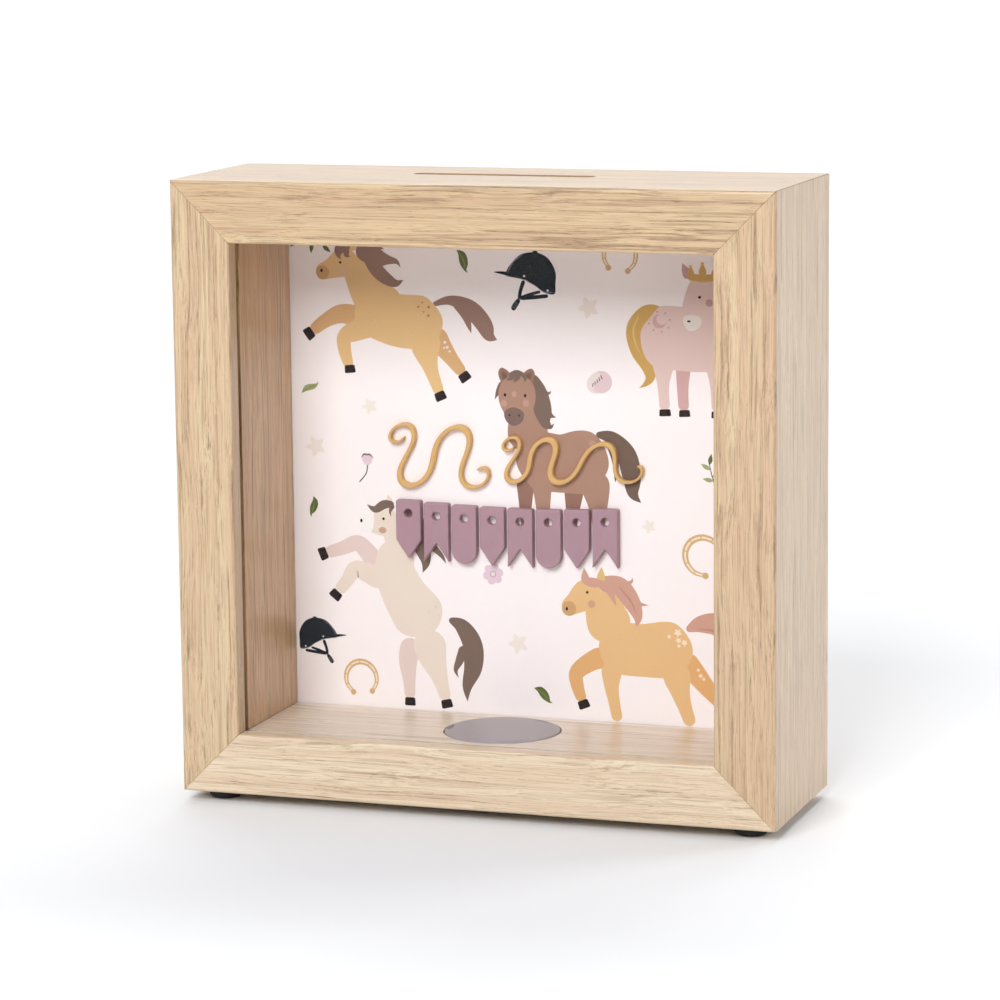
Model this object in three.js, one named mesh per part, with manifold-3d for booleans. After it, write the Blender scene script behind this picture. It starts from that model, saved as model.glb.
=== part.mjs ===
// A wooden money box built like a deep picture frame: four mitred mouldings, a clear front pane,
// liner strips round the coin chamber, a printed card on a back board, raised ornaments glued to
// the card, a coin slot through the top, a push-in rubber plug in the base and four bumper feet.
// Millimetres, +Z up, +X to the right, the front faces -Y. The origin is the middle of the ground
// that the feet stand on.

import * as THREE from 'three';
import { mergeVertices } from 'three/addons/utils/BufferGeometryUtils.js';
import Module from 'manifold-3d';

const wasm = await Module();
wasm.setup();

// ---- driving sizes -----------------------------------------------------------------------------

// Frame
const BOX_WIDTH = 150;
const BOX_HEIGHT = 150; // without the feet
const FACE_WIDTH = 15; // front face of the moulding
const LIP_DEPTH = 4.4; // thickness of the lip that holds the pane
const WALL_THICKNESS = 9;
const FRONT_ARRIS = 0.9; // radius of the outer front edge
const WINDOW_ARRIS = 0.6; // radius of the edge round the window
const BACK_ARRIS = 0.4;
const BACK_RECESS = 6.3; // from the rear edges in to the back board
const MITRE_SETBACK = 0.08; // each rail end stops this short of the true mitre

// Clearances
const FIT_GAP = 0.3; // between pieces that slide into the frame
const GLUE_GAP = 0.1; // between pieces that are stuck together

// Inside
const PANE_THICKNESS = 2;
const LINER_THICKNESS = 5.4;
const CARD_THICKNESS = 0.6;
const BOARD_THICKNESS = 3;

// Coin slot
const SLOT_LENGTH = 46;
const SLOT_WIDTH = 4.4;
const SLOT_FROM_CARD = 11; // from the card's face forward to the middle of the slot

// Plug and its hole in the middle of the chamber floor
const PLUG_DIAMETER = 28.4;
const PLUG_MARGIN = 1.85; // floor left before and behind the hole
const PLUG_CLEARANCE = 0.3;
const PLUG_WALL = 1.8;
const PLUG_STANDS_PROUD = 0.3; // above the chamber floor
const PLUG_EDGE_RADIUS = 0.5;
const PLUG_NOTCHES = 3;
const PLUG_NOTCH_ARC = 0.42; // radians
const PLUG_NOTCH_DEPTH = 0.7;
const PLUG_NOTCH_WIDTH = 1.1;
const FLANGE_OVERHANG = 2.4;
const FLANGE_THICKNESS = 1.6;
const FLANGE_RECESS = 2;
const PULL_BAR_WIDTH = 3.2;
const PULL_BAR_HEIGHT = 4;

// Feet
const FOOT_DIAMETER = 8;
const FOOT_HEIGHT = 2.5;
const FOOT_EDGE_RADIUS = 1.1;
const FOOT_INSET = 8; // from the outer faces to the middle of a foot

// Fasteners
const TAB_WIDTH = 8;
const TAB_THICKNESS = 0.8;
const TAB_IN_WALL = 5;
const TAB_OVER_BOARD = 9;
const TAB_FROM_MIDDLE = 34;
const NAIL_LEG = 4.6;
const NAIL_THICKNESS = 0.8;
const NAIL_DEPTH = 10;
const NAIL_FROM_EDGE = 2.8;
const NAIL_SUNK = 0.3;

// Ornaments
const BUNTING_COUNT = 8;
const PENNANT_WIDTH = 6.5;
const PENNANT_HEIGHT = 14.6;
const PENNANT_SPACING = 7.3;
const PENNANT_THICKNESS = 2;
const PENNANT_POINT = 4.6; // height of the shaped lower end
const PENNANT_CORNER = 0.5;
const PENNANT_EYELET = 1.05; // radius
const BUNTING_OFFSET = -3.6; // sideways, from the card's middle to the row's middle
const BUNTING_BELOW_MIDDLE = 14.2; // from the card's middle down to the row's middle
const BUNTING_SAG = 0.9; // how far the middle of the row hangs below its ends
const SWASH_THICKNESS = 1.6;
const SWASH_WIDTH = 1.3;
const SWASH_SLANT = 0.35;
const SWASH_OFFSET = -6.25;
const SWASH_ABOVE_MIDDLE = 4.2;
const SWASH_GAP = 3.3; // between the two swashes

// ---- worked-out places -------------------------------------------------------------------------

const PLUG_RADIUS = PLUG_DIAMETER / 2;
const HOLE_RADIUS = PLUG_RADIUS + PLUG_CLEARANCE;
const CHAMBER_DEPTH = 2 * (HOLE_RADIUS + PLUG_MARGIN); // length of the liner strips from pane to card
const LINER_FROM_FRONT = LIP_DEPTH + FIT_GAP + PANE_THICKNESS + FIT_GAP;
const CARD_FROM_FRONT = LINER_FROM_FRONT + CHAMBER_DEPTH + FIT_GAP;
const BOX_DEPTH = CARD_FROM_FRONT + CARD_THICKNESS + GLUE_GAP + BOARD_THICKNESS + BACK_RECESS;
const FRONT = -BOX_DEPTH / 2;
const BACK = BOX_DEPTH / 2;
const BASE = FOOT_HEIGHT + GLUE_GAP;
const MIDDLE = BASE + BOX_HEIGHT / 2;
const PANE_FRONT = FRONT + LIP_DEPTH + FIT_GAP;
const CARD_FRONT = FRONT + CARD_FROM_FRONT;
const BOARD_FRONT = CARD_FRONT + CARD_THICKNESS + GLUE_GAP;
const TAB_FRONT = BOARD_FRONT + BOARD_THICKNESS + FIT_GAP;
const LINER_OUTSIDE = WALL_THICKNESS + FIT_GAP; // from the box's outer face
const LINER_INSIDE = LINER_OUTSIDE + LINER_THICKNESS;
const FLOOR = BASE + LINER_INSIDE;
const SLOT_Y = CARD_FRONT - SLOT_FROM_CARD;
const PLUG_Y = FRONT + LINER_FROM_FRONT + CHAMBER_DEPTH / 2;
const ROUND_SEGMENTS = 64;
const ARC_SEGMENTS = 6;

// ---- finishes ----------------------------------------------------------------------------------

const finish = (color, roughness, metalness = 0, opacity = 1) => () =>
  new THREE.MeshStandardMaterial({ color, roughness, metalness, opacity, transparent: opacity < 1 });

const OAK = finish('#dec096', 0.55);
const LINER_OAK = finish('#cdb08e', 0.6);
const CLEAR = finish('#eef4f2', 0.05, 0, 0.25);
const HARDBOARD = finish('#8a6a4a', 0.8);
const PRINTED_CARD = finish('#fbf1ee', 0.7);
const GOLD_PAINT = finish('#d7a969', 0.45);
const MAUVE_PAINT = finish('#ac8892', 0.55);
const GREY_RUBBER = finish('#a59b9f', 0.5);
const BLACK_RUBBER = finish('#1d1b1b', 0.7);
const ZINC_STEEL = finish('#b9bcc0', 0.35, 1);

// ---- solids ------------------------------------------------------------------------------------

/** A closed geometry as a manifold solid. */
function solidOf(geometry) {
  const bare = geometry.clone();
  bare.deleteAttribute('normal');
  bare.deleteAttribute('uv');
  const welded = mergeVertices(bare, 1e-5);
  return new wasm.Manifold(new wasm.Mesh({
    numProp: 3,
    vertProperties: new Float32Array(welded.attributes.position.array),
    triVerts: new Uint32Array(welded.index.array),
  }));
}

/** A manifold solid as a geometry with flat faces. */
function geometryOf(solid) {
  const { vertProperties, triVerts } = solid.getMesh();
  const geometry = new THREE.BufferGeometry();
  geometry.setAttribute('position', new THREE.BufferAttribute(vertProperties, 3));
  geometry.setIndex(new THREE.BufferAttribute(triVerts, 1));
  const faceted = geometry.toNonIndexed();
  faceted.computeVertexNormals();
  return faceted;
}

/** The geometry with every tool cut out of it. */
function cut(geometry, tools) {
  const left = tools.reduce((solid, tool) => solid.subtract(solidOf(tool)), solidOf(geometry));
  return geometryOf(left);
}

/** A plain extrusion of a flat shape. */
function extrude(shape, depth) {
  return new THREE.ExtrudeGeometry(shape, {
    depth,
    steps: 1,
    bevelEnabled: false,
    curveSegments: ARC_SEGMENTS,
  });
}

/** A block given by its low and high corners. */
function block(low, high) {
  const geometry = new THREE.BoxGeometry(high[0] - low[0], high[1] - low[1], high[2] - low[2]);
  return geometry.translate((low[0] + high[0]) / 2, (low[1] + high[1]) / 2, (low[2] + high[2]) / 2);
}

/** A prism with round ends that stands on z = 0, its length along X. */
function slotPrism(length, width, height) {
  const straight = (length - width) / 2;
  const shape = new THREE.Shape();
  shape.moveTo(-straight, -width / 2);
  shape.lineTo(straight, -width / 2);
  shape.absarc(straight, 0, width / 2, -Math.PI / 2, Math.PI / 2, false);
  shape.lineTo(-straight, width / 2);
  shape.absarc(-straight, 0, width / 2, Math.PI / 2, 1.5 * Math.PI, false);
  return extrude(shape, height);
}

/** A round bar that stands on z = 0. */
function roundBar(radius, height) {
  const geometry = new THREE.CylinderGeometry(radius, radius, height, ROUND_SEGMENTS);
  return geometry.rotateX(Math.PI / 2).translate(0, 0, height / 2);
}

/**
 * A bar along X with mitred ends. The shape is its section: x runs inward from the outer face,
 * y from front to back. The outer face lies at z = reach.
 */
function mitredBar(section, length, reach, setback) {
  const geometry = extrude(section, 1);
  const places = geometry.attributes.position;
  for (let i = 0; i < places.count; i += 1) {
    const inward = places.getX(i);
    const side = places.getZ(i) > 0.5 ? 1 : -1;
    places.setXYZ(i, side * (length / 2 - setback - inward), FRONT + places.getY(i), reach - inward);
  }
  return geometry;
}

// ---- the tree ----------------------------------------------------------------------------------

const moneyBox = new THREE.Group();

/** A named piece in its place. */
function piece(parent, name, geometry, material, [x, y, z] = [0, 0, 0]) {
  const mesh = new THREE.Mesh(geometry, material());
  mesh.name = name;
  mesh.position.set(x, y, z);
  parent.add(mesh);
  return mesh;
}

// The four sides of the box. Each has a group turned about Y, in which the side lies on top.
const SIDES = [
  { name: 'top', part: 'rail', turn: 0, length: BOX_WIDTH, reach: BOX_HEIGHT / 2 },
  { name: 'right', part: 'stile', turn: Math.PI / 2, length: BOX_HEIGHT, reach: BOX_WIDTH / 2 },
  { name: 'bottom', part: 'rail', turn: Math.PI, length: BOX_WIDTH, reach: BOX_HEIGHT / 2 },
  { name: 'left', part: 'stile', turn: -Math.PI / 2, length: BOX_HEIGHT, reach: BOX_WIDTH / 2 },
];
for (const side of SIDES) {
  side.group = new THREE.Group();
  side.group.position.set(0, 0, MIDDLE);
  side.group.rotation.y = side.turn;
  moneyBox.add(side.group);
}

// ---- cuts that several pieces share --------------------------------------------------------------

/** The coin slot, cut down from above the top face to below the liner, in a side's own group. */
function slotCutter(reach) {
  const height = LINER_INSIDE + 2 * FIT_GAP;
  return slotPrism(SLOT_LENGTH, SLOT_WIDTH, height).translate(0, SLOT_Y, reach - LINER_INSIDE - FIT_GAP);
}

/** The plug hole through the base, in a side's own group. */
function holeCutter(reach) {
  const height = LINER_INSIDE + 2 * FIT_GAP;
  return roundBar(HOLE_RADIUS, height).translate(0, PLUG_Y, reach - LINER_INSIDE - FIT_GAP);
}

/** The wider recess for the plug's flange under the base, in a side's own group. */
function recessCutter(reach) {
  const radius = PLUG_RADIUS + FLANGE_OVERHANG + PLUG_CLEARANCE;
  return roundBar(radius, FLANGE_RECESS + FIT_GAP).translate(0, PLUG_Y, reach - FLANGE_RECESS);
}

/** Slits for the board's tabs in the inner face of a wall, in a side's own group. */
function tabSlits(reach) {
  return [-1, 1].map((side) => block(
    [side * TAB_FROM_MIDDLE - TAB_WIDTH / 2 - FIT_GAP, TAB_FRONT - FIT_GAP, reach - WALL_THICKNESS - FIT_GAP],
    [
      side * TAB_FROM_MIDDLE + TAB_WIDTH / 2 + FIT_GAP,
      TAB_FRONT + TAB_THICKNESS + FIT_GAP,
      reach - WALL_THICKNESS + TAB_IN_WALL + FIT_GAP,
    ],
  ));
}

/** An angle nail seen from behind: two legs from a corner at the origin, grown by a margin. */
function nailShape(margin) {
  const near = -margin;
  const far = NAIL_LEG + margin;
  const inside = NAIL_THICKNESS + margin;
  const shape = new THREE.Shape();
  shape.moveTo(near, near);
  shape.lineTo(far, near);
  shape.lineTo(far, inside);
  shape.lineTo(inside, inside);
  shape.lineTo(inside, far);
  shape.lineTo(near, far);
  return shape;
}

/** An angle nail's body, or with a margin the pocket it sits in, in a corner of the back face. */
function cornerNail(right, up, margin, depth) {
  const geometry = extrude(nailShape(margin), depth);
  geometry.rotateX(Math.PI / 2); // the legs now lie in X and Z, the depth runs to -Y
  geometry.rotateY(-(Math.atan2(up, right) + 0.75 * Math.PI));
  const x = right * (BOX_WIDTH / 2 - NAIL_FROM_EDGE);
  const z = up * (BOX_HEIGHT / 2 - NAIL_FROM_EDGE);
  return geometry.translate(x, 0, z);
}

const CORNERS = [[-1, -1], [1, -1], [1, 1], [-1, 1]];

/** The nail pockets of all corners, turned into a side's own group. */
function nailPockets(turn) {
  const depth = NAIL_DEPTH + NAIL_SUNK + 2 * FIT_GAP;
  return CORNERS.map(([right, up]) =>
    cornerNail(right, up, FIT_GAP, depth).translate(0, BACK + FIT_GAP, 0).rotateY(-turn));
}

// ---- mouldings ---------------------------------------------------------------------------------

/** The L-shaped section of the moulding, with rounded edges. */
function mouldingSection() {
  const shape = new THREE.Shape();
  shape.moveTo(0, FRONT_ARRIS);
  shape.absarc(FRONT_ARRIS, FRONT_ARRIS, FRONT_ARRIS, Math.PI, 1.5 * Math.PI, false);
  shape.lineTo(FACE_WIDTH - WINDOW_ARRIS, 0);
  shape.absarc(FACE_WIDTH - WINDOW_ARRIS, WINDOW_ARRIS, WINDOW_ARRIS, -Math.PI / 2, 0, false);
  shape.lineTo(FACE_WIDTH, LIP_DEPTH);
  shape.lineTo(WALL_THICKNESS, LIP_DEPTH);
  shape.lineTo(WALL_THICKNESS, BOX_DEPTH);
  shape.lineTo(BACK_ARRIS, BOX_DEPTH);
  shape.absarc(BACK_ARRIS, BOX_DEPTH - BACK_ARRIS, BACK_ARRIS, Math.PI / 2, Math.PI, false);
  return shape;
}

for (const { name, part, group, turn, length, reach } of SIDES) {
  const bar = mitredBar(mouldingSection(), length, reach, MITRE_SETBACK);
  const cuts = [...tabSlits(reach), ...nailPockets(turn)];
  if (name === 'top') cuts.push(slotCutter(reach));
  if (name === 'bottom') cuts.push(holeCutter(reach), recessCutter(reach));
  piece(group, `frame_${part}_${name}`, cut(bar, cuts), OAK);
}

// ---- liner strips ------------------------------------------------------------------------------

/** The plain section of a liner strip, placed by its distance from the box's outer face. */
function linerSection() {
  const front = LINER_FROM_FRONT;
  const back = LINER_FROM_FRONT + CHAMBER_DEPTH;
  const shape = new THREE.Shape();
  shape.moveTo(LINER_OUTSIDE, front);
  shape.lineTo(LINER_INSIDE, front);
  shape.lineTo(LINER_INSIDE, back);
  shape.lineTo(LINER_OUTSIDE, back);
  return shape;
}

for (const { name, group, length, reach } of SIDES) {
  const strip = mitredBar(linerSection(), length, reach, MITRE_SETBACK);
  const cuts = [];
  if (name === 'top') cuts.push(slotCutter(reach));
  if (name === 'bottom') cuts.push(holeCutter(reach));
  piece(group, `liner_${name}`, cuts.length ? cut(strip, cuts) : strip, LINER_OAK);
}

// ---- pane, card and board ------------------------------------------------------------------------

/** A flat sheet that fills the frame between its walls. */
function sheet(thickness) {
  return new THREE.BoxGeometry(BOX_WIDTH - 2 * LINER_OUTSIDE, thickness, BOX_HEIGHT - 2 * LINER_OUTSIDE);
}

piece(moneyBox, 'front_pane', sheet(PANE_THICKNESS), CLEAR, [0, PANE_FRONT + PANE_THICKNESS / 2, MIDDLE]);
piece(moneyBox, 'printed_card', sheet(CARD_THICKNESS), PRINTED_CARD, [0, CARD_FRONT + CARD_THICKNESS / 2, MIDDLE]);
piece(moneyBox, 'back_board', sheet(BOARD_THICKNESS), HARDBOARD, [0, BOARD_FRONT + BOARD_THICKNESS / 2, MIDDLE]);

// ---- tabs that hold the board, and corner nails --------------------------------------------------

/** A steel tab with a rounded tip, in the XZ plane: its root is in the wall above z = 0. */
function tabGeometry() {
  const tip = TAB_WIDTH / 2;
  const shape = new THREE.Shape();
  shape.moveTo(TAB_WIDTH / 2, TAB_IN_WALL);
  shape.lineTo(-TAB_WIDTH / 2, TAB_IN_WALL);
  shape.lineTo(-TAB_WIDTH / 2, tip - TAB_OVER_BOARD);
  shape.absarc(0, tip - TAB_OVER_BOARD, tip, Math.PI, 2 * Math.PI, false);
  return extrude(shape, TAB_THICKNESS).rotateX(Math.PI / 2);
}

for (const { name, group, reach } of SIDES) {
  for (const [label, side] of [['a', -1], ['b', 1]]) {
    const place = [side * TAB_FROM_MIDDLE, TAB_FRONT + TAB_THICKNESS, reach - WALL_THICKNESS];
    piece(group, `board_tab_${name}_${label}`, tabGeometry(), ZINC_STEEL, place);
  }
}

for (const [right, up] of CORNERS) {
  const name = `corner_nail_${up > 0 ? 'top' : 'bottom'}_${right > 0 ? 'right' : 'left'}`;
  piece(moneyBox, name, cornerNail(right, up, 0, NAIL_DEPTH), ZINC_STEEL, [0, BACK - NAIL_SUNK, MIDDLE]);
}

// ---- raised ornaments ----------------------------------------------------------------------------

/** A pennant that hangs down from z = 0: pointed, swallow-tailed or round below. */
function pennantShape(style) {
  const half = PENNANT_WIDTH / 2;
  const shoulder = PENNANT_POINT - PENNANT_HEIGHT;
  const shape = new THREE.Shape();
  shape.moveTo(half - PENNANT_CORNER, 0);
  shape.lineTo(PENNANT_CORNER - half, 0);
  shape.absarc(PENNANT_CORNER - half, -PENNANT_CORNER, PENNANT_CORNER, Math.PI / 2, Math.PI, false);
  if (style === 'round') {
    shape.lineTo(-half, half - PENNANT_HEIGHT);
    shape.absarc(0, half - PENNANT_HEIGHT, half, Math.PI, 2 * Math.PI, false);
  } else if (style === 'tailed') {
    shape.lineTo(-half, -PENNANT_HEIGHT);
    shape.lineTo(0, shoulder);
    shape.lineTo(half, -PENNANT_HEIGHT);
  } else {
    shape.lineTo(-half, shoulder);
    shape.lineTo(0, -PENNANT_HEIGHT);
    shape.lineTo(half, shoulder);
  }
  shape.lineTo(half, -PENNANT_CORNER);
  shape.absarc(half - PENNANT_CORNER, -PENNANT_CORNER, PENNANT_CORNER, 0, Math.PI / 2, false);
  const eyelet = new THREE.Path();
  eyelet.absarc(0, -half, PENNANT_EYELET, 0, 2 * Math.PI, true);
  shape.holes.push(eyelet);
  return shape;
}

const PENNANT_STYLES = ['pointed', 'tailed', 'round'];
for (let i = 0; i < BUNTING_COUNT; i += 1) {
  const along = i - (BUNTING_COUNT - 1) / 2;
  const fromEnd = (2 * along) / (BUNTING_COUNT - 1);
  const top = MIDDLE - BUNTING_BELOW_MIDDLE + PENNANT_HEIGHT / 2 - BUNTING_SAG * (1 - fromEnd ** 2);
  const shape = pennantShape(PENNANT_STYLES[i % PENNANT_STYLES.length]);
  const geometry = extrude(shape, PENNANT_THICKNESS).rotateX(Math.PI / 2);
  const place = [BUNTING_OFFSET + along * PENNANT_SPACING, CARD_FRONT - GLUE_GAP, top];
  piece(moneyBox, `bunting_pennant_${i + 1}`, geometry, MAUVE_PAINT, place);
}

/**
 * A swash: a line whose heading swings as a cosine of the distance along it, less and less, with
 * a curl added at both ends. It is thick in the middle and fine at its ends, and its box is
 * centred on the origin.
 */
function swashGeometry({ length, waves, swing, fading, curl, tail }) {
  const steps = 24 * waves;
  const step = length / steps;
  const upper = [];
  const lower = [];
  let x = 0;
  let y = 0;
  for (let i = 0; i <= steps; i += 1) {
    const along = i / steps;
    const curled = Math.max(0, 1 - along / tail) ** 2 + Math.max(0, 1 - (1 - along) / tail) ** 2;
    const heading = swing * Math.cos(2 * Math.PI * waves * along) * (1 - fading * along) + curl * curled;
    const half = (SWASH_WIDTH / 2) * (0.45 + 0.55 * Math.sin(Math.PI * along));
    const acrossX = -half * Math.sin(heading);
    const acrossY = half * Math.cos(heading);
    upper.unshift(new THREE.Vector2(x + acrossX + SWASH_SLANT * (y + acrossY), y + acrossY));
    lower.push(new THREE.Vector2(x - acrossX + SWASH_SLANT * (y - acrossY), y - acrossY));
    x += step * Math.cos(heading);
    y += step * Math.sin(heading);
  }
  const geometry = extrude(new THREE.Shape([...lower, ...upper]), SWASH_THICKNESS);
  geometry.rotateX(Math.PI / 2);
  geometry.computeBoundingBox();
  const { min, max } = geometry.boundingBox;
  return geometry.translate(-(min.x + max.x) / 2, 0, -(min.z + max.z) / 2);
}

const SWASHES = [
  { name: 'swash_left', side: -1, length: 78, waves: 2, swing: 1.9, fading: 0.2, curl: 2.5, tail: 0.12 },
  { name: 'swash_right', side: 1, length: 84, waves: 3, swing: 2.1, fading: 0.5, curl: 2.2, tail: 0.08 },
];
for (const { name, side, ...line } of SWASHES) {
  const geometry = swashGeometry(line);
  geometry.computeBoundingBox();
  const x = SWASH_OFFSET + side * (SWASH_GAP / 2 + geometry.boundingBox.max.x);
  piece(moneyBox, name, geometry, GOLD_PAINT, [x, CARD_FRONT - GLUE_GAP, MIDDLE + SWASH_ABOVE_MIDDLE]);
}

// ---- plug --------------------------------------------------------------------------------------

const PLUG_TOP = FLOOR + PLUG_STANDS_PROUD;
const PLUG_BOTTOM = BASE + FLANGE_RECESS - FLANGE_THICKNESS;
const PLUG_LENGTH = PLUG_TOP - PLUG_BOTTOM;

/** A closed profile turned about the plug's axis: flange below, closed disc on top, hollow under it. */
function plugBody() {
  const flange = PLUG_RADIUS + FLANGE_OVERHANG;
  const bore = PLUG_RADIUS - PLUG_WALL;
  const points = [
    [0, PLUG_LENGTH - PLUG_WALL],
    [bore, PLUG_LENGTH - PLUG_WALL],
    [bore, 0],
    [flange, 0],
    [flange, FLANGE_THICKNESS],
    [PLUG_RADIUS, FLANGE_THICKNESS],
  ].map(([r, z]) => new THREE.Vector2(r, z));
  for (let i = 0; i <= ARC_SEGMENTS; i += 1) {
    const angle = (Math.PI / 2) * (i / ARC_SEGMENTS);
    points.push(new THREE.Vector2(
      PLUG_RADIUS - PLUG_EDGE_RADIUS * (1 - Math.cos(angle)),
      PLUG_LENGTH - PLUG_EDGE_RADIUS * (1 - Math.sin(angle)),
    ));
  }
  points.push(new THREE.Vector2(0, PLUG_LENGTH));
  return new THREE.LatheGeometry(points, ROUND_SEGMENTS).rotateX(Math.PI / 2);
}

/** Shallow curved notches near the rim of the plug's upper face. */
function plugNotches() {
  const outer = PLUG_RADIUS - PLUG_EDGE_RADIUS;
  const inner = outer - PLUG_NOTCH_WIDTH;
  return Array.from({ length: PLUG_NOTCHES }, (_, i) => {
    const middle = Math.PI / 3 + (2 * Math.PI * i) / PLUG_NOTCHES;
    const shape = new THREE.Shape();
    shape.absarc(0, 0, outer, middle - PLUG_NOTCH_ARC / 2, middle + PLUG_NOTCH_ARC / 2, false);
    shape.absarc(0, 0, inner, middle + PLUG_NOTCH_ARC / 2, middle - PLUG_NOTCH_ARC / 2, true);
    return extrude(shape, PLUG_NOTCH_DEPTH + FIT_GAP).translate(0, 0, PLUG_LENGTH - PLUG_NOTCH_DEPTH);
  });
}

const pullBar = block(
  [-PULL_BAR_WIDTH / 2, -PLUG_RADIUS + PLUG_WALL / 2, FLANGE_THICKNESS / 2],
  [PULL_BAR_WIDTH / 2, PLUG_RADIUS - PLUG_WALL / 2, FLANGE_THICKNESS / 2 + PULL_BAR_HEIGHT],
);
const barredPlug = geometryOf(solidOf(plugBody()).add(solidOf(pullBar)));
piece(moneyBox, 'base_plug', cut(barredPlug, plugNotches()), GREY_RUBBER, [0, PLUG_Y, PLUG_BOTTOM]);

// ---- feet --------------------------------------------------------------------------------------

/** A bumper foot: flat below, with a rounded edge, and a flat sticky face on top. */
function footGeometry() {
  const radius = FOOT_DIAMETER / 2;
  const points = [new THREE.Vector2(0, 0)];
  for (let i = 0; i <= ARC_SEGMENTS; i += 1) {
    const angle = (Math.PI / 2) * (i / ARC_SEGMENTS);
    points.push(new THREE.Vector2(
      radius - FOOT_EDGE_RADIUS * (1 - Math.sin(angle)),
      FOOT_EDGE_RADIUS * (1 - Math.cos(angle)),
    ));
  }
  points.push(new THREE.Vector2(radius, FOOT_HEIGHT), new THREE.Vector2(0, FOOT_HEIGHT));
  return new THREE.LatheGeometry(points, ROUND_SEGMENTS / 2).rotateX(Math.PI / 2);
}

for (const [right, back] of CORNERS) {
  const name = `foot_${back > 0 ? 'back' : 'front'}_${right > 0 ? 'right' : 'left'}`;
  const place = [right * (BOX_WIDTH / 2 - FOOT_INSET), back * (BOX_DEPTH / 2 - FOOT_INSET), 0];
  piece(moneyBox, name, footGeometry(), BLACK_RUBBER, place);
}

export default moneyBox;
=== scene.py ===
"""A wooden money box made like a deep picture frame, dressed for a studio picture.

The frame, pane, liners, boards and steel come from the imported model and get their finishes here.
The feet, the plug, the raised ornaments, the mitres' filler and the inks printed on the card are
surfaces worked out below. Lengths are metres; the drawings on the card are written in millimetres
from the card's middle.
"""

import logging
import math
from dataclasses import dataclass, field
from enum import Enum
from typing import Callable, Iterable, Sequence, Union

import bmesh
import bpy
import numpy as np
from mathutils import Matrix, Vector


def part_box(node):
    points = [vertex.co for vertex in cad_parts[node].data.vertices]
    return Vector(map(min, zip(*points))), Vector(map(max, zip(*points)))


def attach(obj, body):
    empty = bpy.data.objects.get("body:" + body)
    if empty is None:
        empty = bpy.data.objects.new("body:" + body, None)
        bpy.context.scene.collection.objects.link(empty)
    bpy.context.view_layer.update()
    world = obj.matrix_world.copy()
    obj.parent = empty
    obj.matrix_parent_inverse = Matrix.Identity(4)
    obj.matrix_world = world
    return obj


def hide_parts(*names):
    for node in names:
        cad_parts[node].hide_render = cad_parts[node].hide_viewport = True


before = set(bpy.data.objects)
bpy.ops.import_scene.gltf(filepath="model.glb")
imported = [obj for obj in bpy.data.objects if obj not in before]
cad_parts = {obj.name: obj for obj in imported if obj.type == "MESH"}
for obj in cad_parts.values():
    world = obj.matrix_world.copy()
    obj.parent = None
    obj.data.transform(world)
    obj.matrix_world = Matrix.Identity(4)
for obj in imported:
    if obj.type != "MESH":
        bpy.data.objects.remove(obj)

LOG = logging.getLogger("money_box")
MM = 0.001
FULL_TURN = 2 * np.pi

Colour = tuple[float, float, float]
Point = tuple[float, float, float]
Material = bpy.types.Material
Piece = bpy.types.Object
Socket = bpy.types.NodeSocket
Tree = bpy.types.NodeTree
Feed = Union[Socket, float, Sequence[float]]


# ---- colours -----------------------------------------------------------------------------------

def linear_light(value: int) -> float:
    """Returns one channel of a screen colour, 0 to 255, as linear light."""
    part = value / 255
    return part / 12.92 if part <= 0.04045 else ((part + 0.055) / 1.055) ** 2.4


def srgb(red: int, green: int, blue: int) -> Colour:
    """Returns a screen colour, 0 to 255 a channel, as linear light."""
    return linear_light(red), linear_light(green), linear_light(blue)


class Ink(Enum):
    """The printing inks of the card."""

    TAN = srgb(228, 189, 134)
    TAN_SHADE = srgb(217, 172, 121)
    HONEY = srgb(230, 188, 134)
    HONEY_SHADE = srgb(226, 174, 116)
    CREAM = srgb(234, 218, 202)
    CREAM_SHADE = srgb(228, 206, 198)
    BAY = srgb(172, 134, 114)
    BAY_SHADE = srgb(150, 112, 96)
    BAY_LIGHT = srgb(192, 150, 132)
    ROSE = srgb(226, 198, 190)
    ROSE_SHADE = srgb(210, 168, 164)
    ROSE_DEEP = srgb(196, 154, 152)
    MANE_MAUVE = srgb(152, 118, 104)
    MANE_BROWN = srgb(124, 102, 90)
    MANE_DARK = srgb(116, 94, 80)
    MANE_PEACH = srgb(208, 160, 140)
    MANE_PEACH_SHADE = srgb(190, 142, 124)
    GOLD = srgb(206, 164, 92)
    GOLD_LIGHT = srgb(222, 188, 120)
    MUZZLE = srgb(206, 162, 112)
    MUZZLE_DARK = srgb(126, 102, 92)
    WHITE = srgb(248, 242, 238)
    OFF_WHITE = srgb(236, 226, 218)
    CHEEK = srgb(228, 184, 168)
    CHEEK_BROWN = srgb(204, 162, 142)
    BLUSH = srgb(214, 158, 128)
    HOOF = srgb(42, 31, 29)
    BLACK = srgb(34, 28, 28)
    NAVY = srgb(29, 35, 41)
    NAVY_EDGE = srgb(132, 138, 146)
    LEAF = srgb(96, 108, 54)
    LEAF_PALE = srgb(160, 168, 112)
    STEM = srgb(92, 98, 84)
    STAR = srgb(242, 230, 220)
    STAR_MARK = srgb(250, 226, 200)
    PETAL = srgb(228, 202, 212)
    PETAL_DEEP = srgb(206, 174, 188)
    POMPON = srgb(226, 200, 202)
    POMPON_PALE = srgb(232, 218, 212)
    SHOE = srgb(214, 176, 126)
    SHOE_LIGHT = srgb(244, 226, 200)
    SPOT = srgb(182, 134, 84)


# ---- curves and meshes ---------------------------------------------------------------------------

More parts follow.
